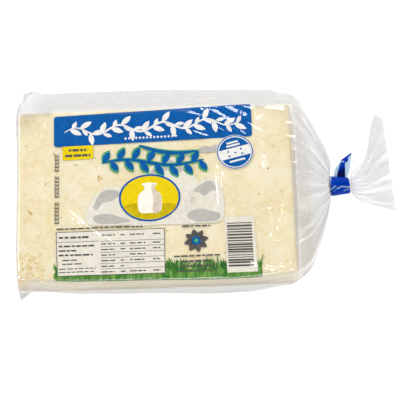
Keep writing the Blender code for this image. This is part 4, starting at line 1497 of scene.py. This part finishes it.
# %% [markdown]
# ## The tape
# Blue sealing tape, a little over 10 mm wide, is wound tightly round the gathered neck. Its
# outer edge is stepped where the turns don't quite lie on each other, and one sharp pinch
# runs along it.
# The free end stands up on the far side as a narrow fin. Only the fin's core and tip are
# stuck to a second layer and look deep blue; the single layer beside them is pale and clear.
# The band is a thin profile, spun round the neck, and the fin is a folded grid.

# %% Wind the band
TAPE_START_X, TAPE_END_X = 96.4 * MM, 106.8 * MM
TAPE_CLEARANCE, TAPE_THICKNESS, TAPE_SLANT = 0.25 * MM, 0.55 * MM, 0.07
TAPE_STEPS = ((0.0, 0.26), (0.35, 0.16), (0.42, 0.10), (0.85, 0.07), (0.92, 0.0))
TAPE_SIDES, TAPE_LENGTHWISE = 190, 52
# Each pinch: its height and half width, and its places along and round the band, in mm
PINCH_ANGLE = math.radians(112)
PINCHES = (
    (0.3, 0.9, ((0.0, 1.7), (1.25, 0.8), (2.3, -0.05), (2.8, 0.2), (3.1, 1.5), (3.7, 1.4),
                (5.4, 0.4), (7.8, 0.55), (10.6, 1.0))),
    (0.2, 0.7, ((6.8, 3.1), (8.0, 2.3), (9.6, 2.0))),
    (0.15, 0.6, ((1.5, 3.2), (2.2, 1.9))),
)
# A painted highlight runs pale along each pinch: its half width, and the pinch height at which it
# is full, in mm
GLINT_HALF_WIDTH, FULL_GLINT_PINCH = 0.34, 0.3
# The band's small wrinkles: length along it, length round it, and height in mm
WRINKLES = (2.6, 1.3, 0.07)
LONE_ANGLE, LONE_WIDTH, LONE_FADE = math.radians(50), 1.0 * MM, 0.25 * MM


def tape_radius(x):
    """The radius of the band's inner face at x."""
    share = (x - NECK_START_X) / (NECK_END_X - NECK_START_X)
    return blend(NECK_START_RADIUS, NECK_END_RADIUS, share) + TAPE_CLEARANCE


def off_pinch(pinch, x, angle, radius):
    """How far a point of the band is from a pinch's line, in mm, or far off past its ends."""
    along, stray = np.array(pinch).T
    at = (x - TAPE_START_X) / MM
    past = max(along[0] - at, at - along[-1], 0.0)
    middle = np.interp(at, along, stray)
    return math.hypot(radius * (angle - PINCH_ANGLE) / MM - middle, 3 * past)


def tape_relief(x, angle, radius):
    """How far the band's outer face stands out: its pinches, and small wrinkles."""
    along, around, height = WRINKLES
    place = Vector((x / MM / along, radius * angle / MM / around, 4.0))
    raised = noise.noise(place) * height
    for height, half_width, pinch in PINCHES:
        raised += height * max(0.0, 1 - off_pinch(pinch, x, angle, radius) / half_width)
    return raised * MM


def tape_layers(x, angle, radius):
    """1 where the turns of tape lie together; less where one layer stands off, and along each
    pinch's painted highlight.
    """
    lone = bump(angle, LONE_ANGLE, LONE_ANGLE) * LONE_WIDTH
    layers = float(ease((x - TAPE_START_X - lone) / LONE_FADE + 1))
    # Painted highlight: the tape is painted pale along each pinch.
    for height, _, pinch in PINCHES:
        off = off_pinch(pinch, x, angle, radius)
        layers -= height / FULL_GLINT_PINCH * (1 - float(ease((off - GLINT_HALF_WIDTH / 2) / GLINT_HALF_WIDTH)))
    return max(layers, 0.0)


def wind_band(bm):
    """Spins the band's profile round the neck, then pinches, wrinkles and slants it."""
    outer = [(TAPE_START_X + step * MM, -drop * MM) for step, drop in TAPE_STEPS]
    outer += [(x, 0.0) for x in np.linspace(outer[-1][0], TAPE_END_X, TAPE_LENGTHWISE)[1:]]
    profile = [(x, tape_radius(x) + TAPE_THICKNESS + drop) for x, drop in outer]
    profile += [(TAPE_END_X, tape_radius(TAPE_END_X)), (TAPE_START_X, tape_radius(TAPE_START_X))]
    verts = [bm.verts.new((x, NECK_Y + radius, NECK_Z)) for x, radius in profile]
    edges = [bm.edges.new((verts[i - 1], verts[i])) for i in range(len(verts))]
    bmesh.ops.spin(bm, geom=verts + edges, cent=(0, NECK_Y, NECK_Z), axis=(1, 0, 0),
                   angle=2 * math.pi, steps=TAPE_SIDES, use_merge=True)
    bmesh.ops.recalc_face_normals(bm, faces=bm.faces)
    layers = bm.verts.layers.float.new("layers")
    for vert in bm.verts:
        x, y, z = vert.co
        angle = math.atan2(z - NECK_Z, y - NECK_Y)
        radius = math.hypot(z - NECK_Z, y - NECK_Y)
        vert[layers] = tape_layers(x, angle, radius)
        if radius > tape_radius(x) + TAPE_THICKNESS / 4:
            radius += tape_relief(x, angle, radius)
        vert.co = (x - TAPE_SLANT * (y - NECK_Y), NECK_Y + radius * math.cos(angle),
                   NECK_Z + radius * math.sin(angle))


# %% Fold the free end
# The fin's left and right edge from root to tip, in mm
FIN_LEFT = ((98.4, 8.1, 10.5), (99.1, 10.9, 12.0), (100.2, 13.3, 12.8), (102.2, 15.9, 13.2),
            (103.0, 17.0, 13.3), (106.1, 19.2, 13.2), (108.9, 21.2, 13.2))
FIN_RIGHT = ((105.6, 7.2, 10.5), (107.3, 10.5, 12.0), (107.8, 13.0, 12.6), (108.3, 15.7, 12.9),
             (108.7, 17.3, 13.1), (109.0, 19.0, 13.2), (109.3, 21.4, 13.2))
# The blue core: (y, its left bound, its right bound), in mm
CORE = ((8.0, 100.4, 104.9), (10.8, 101.0, 104.9), (13.3, 101.8, 105.0), (14.6, 102.3, 105.2),
        (15.3, 102.7, 105.6), (15.8, 103.2, 106.6), (17.0, 102.8, 107.1), (17.6, 103.5, 106.9),
        (18.7, 105.1, 107.4), (20.2, 107.1, 108.8), (21.6, 108.7, 109.5))
FIN_CELLS = (84, 40)
FIN_SHEET, FIN_RIDGE = 0.14 * MM, 1.1 * MM
FIN_FOLD_SHARE, FIN_GRAIN, FIN_WRINKLE = 0.42, 1.7, 0.12
# The crease across the fin, which is also painted pale along its line, and the fin's root,
# painted navy as painted shade, in mm
FIN_MIDDLE_X, FIN_CREASE_Y, FIN_CREASE_SLOPE = 103, 16.3, -0.55
FIN_CREASE_REACH, FIN_CREASE_RISE = 0.9, 0.35 * MM
FIN_CREASE_HALF, FIN_CREASE_END = 0.32, 104.4
ROOT_Y, ROOT_SLOPE, ROOT_FADE, CORE_FADE = 12.4, 0.55, 1.6, 0.3


def off_fin_crease(x, y):
    """How far a point of the fin is from the line of its crease, in mm."""
    return abs(y - FIN_CREASE_Y - FIN_CREASE_SLOPE * (x - FIN_MIDDLE_X))


def fin_place(along, across):
    """A point of the fin, folded lengthwise and creased once across."""
    left, right = (np.array([np.interp(along * (len(side) - 1), range(len(side)), column)
                             for column in np.array(side).T]) for side in (FIN_LEFT, FIN_RIGHT))
    x, y, z = blend(left, right, across)
    ridge = np.interp(across, (0, FIN_FOLD_SHARE, 1), (0, 1, 0))
    crease = max(0.0, 1 - off_fin_crease(x, y) / FIN_CREASE_REACH)
    z += (ridge * math.sin(math.pi * along) * FIN_RIDGE + crease * FIN_CREASE_RISE) / MM
    return Vector((x, y, z + noise.noise(Vector((x, y, 0)) / FIN_GRAIN) * FIN_WRINKLE)) * MM


def fold_fin(bm):
    """Folds a flat grid into the fin, paints its layers and root shade, and gives it a thickness.
    """
    bmesh.ops.create_grid(bm, x_segments=FIN_CELLS[0], y_segments=FIN_CELLS[1], size=0.5)
    layers = bm.verts.layers.float.new("layers")
    for vert in bm.verts:
        vert.co = fin_place(vert.co.x + 0.5, vert.co.y + 0.5)
        x, y = vert.co.x / MM, vert.co.y / MM
        ends, left, right = np.array(CORE).T
        inside = min(x - np.interp(y, ends, left), np.interp(y, ends, right) - x)
        off_crease = off_fin_crease(x, y) - FIN_CREASE_HALF + max(0.0, x - FIN_CREASE_END)
        # Painted shade: the fin's root is painted navy, up to 2 in layers.
        root = ease((ROOT_Y + ROOT_SLOPE * (x - FIN_MIDDLE_X) - y) / ROOT_FADE)
        blue = float(ease(0.5 + min(inside, off_crease) / CORE_FADE))
        vert[layers] = blue * (1 + float(root))
    bmesh.ops.recalc_face_normals(bm, faces=bm.faces)
    bmesh.ops.solidify(bm, geom=bm.faces[:], thickness=FIN_SHEET)
    bmesh.ops.recalc_face_normals(bm, faces=bm.faces)


# %% [markdown]
# ## Blue tape
# Polypropylene tape, dyed deep royal blue and very glossy. Where only one layer stands by
# itself it is pale and see-through. Along each pinch of the band that pale colour is a painted
# highlight, and the fin's root is painted navy as painted shade. The attribute `layers`,
# painted on the mesh while it was shaped, goes from 0 for a single layer and the painted
# highlight, to 1 for a few layers, and up to 2 for the painted shade at the fin's root. The dye
# takes up most of the light, so the gloss is faint.

# %% Tape material
TAPE_IOR, TAPE_GLOSS = 1.49, 0.06
tape_material, tree, output = start_material("blue polypropylene tape")
place = add_node(tree, "TexCoord").outputs["Object"]
streaks = add_node(tree, "TexNoise", {"Vector": place, "Scale": 520.0, "Detail": 3.0})
uneven = add_node(tree, "MapRange", {"Value": streaks, "From Min": 0.35, "From Max": 0.65})
shade = add_node(tree, "MixRGB", {
    "Fac": uneven, "Color1": linear("#00258b"), "Color2": linear("#003ca8")})
layers = add_node(tree, "Attribute", attribute_name="layers").outputs["Fac"]
# Painted shade at the fin's root: layers above 1 turn the dye navy.
root_shade = add_node(tree, "MapRange", {"Value": layers, "From Min": 1.0, "From Max": 2.0})
dye = add_node(tree, "MixRGB", {"Fac": root_shade, "Color1": shade, "Color2": linear("#010a48")})
relief = add_node(tree, "Bump", {"Strength": 0.25, "Distance": 0.1 * MM, "Height": streaks})
deep = add_node(tree, "BsdfPrincipled", {
    "Base Color": dye, "Roughness": 0.11, "IOR": TAPE_IOR, "Specular IOR Level": TAPE_GLOSS,
    "Normal": relief})
pale = add_node(tree, "BsdfPrincipled", {
    "Base Color": linear("#a6c6de"), "Roughness": 0.2, "IOR": TAPE_IOR, "Normal": relief})
open_film = add_node(tree, "BsdfTransparent", {"Color": linear("#f4f4f4")})
lone = add_node(tree, "MixShader", {"Fac": 0.6, 1: open_film, 2: pale})
some = add_node(tree, "MapRange", {"Value": layers})
surface = add_node(tree, "MixShader", {"Fac": some, 1: lone, 2: deep})
tree.links.new(surface.outputs["Shader"], output.inputs["Surface"])

band_bm = bmesh.new()
wind_band(band_bm)
band = add_piece("tape_band", band_bm, tape_material)
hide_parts("tie")
fin_bm = bmesh.new()
fold_fin(fin_bm)
add_piece("tape_free_end", fin_bm, tape_material)
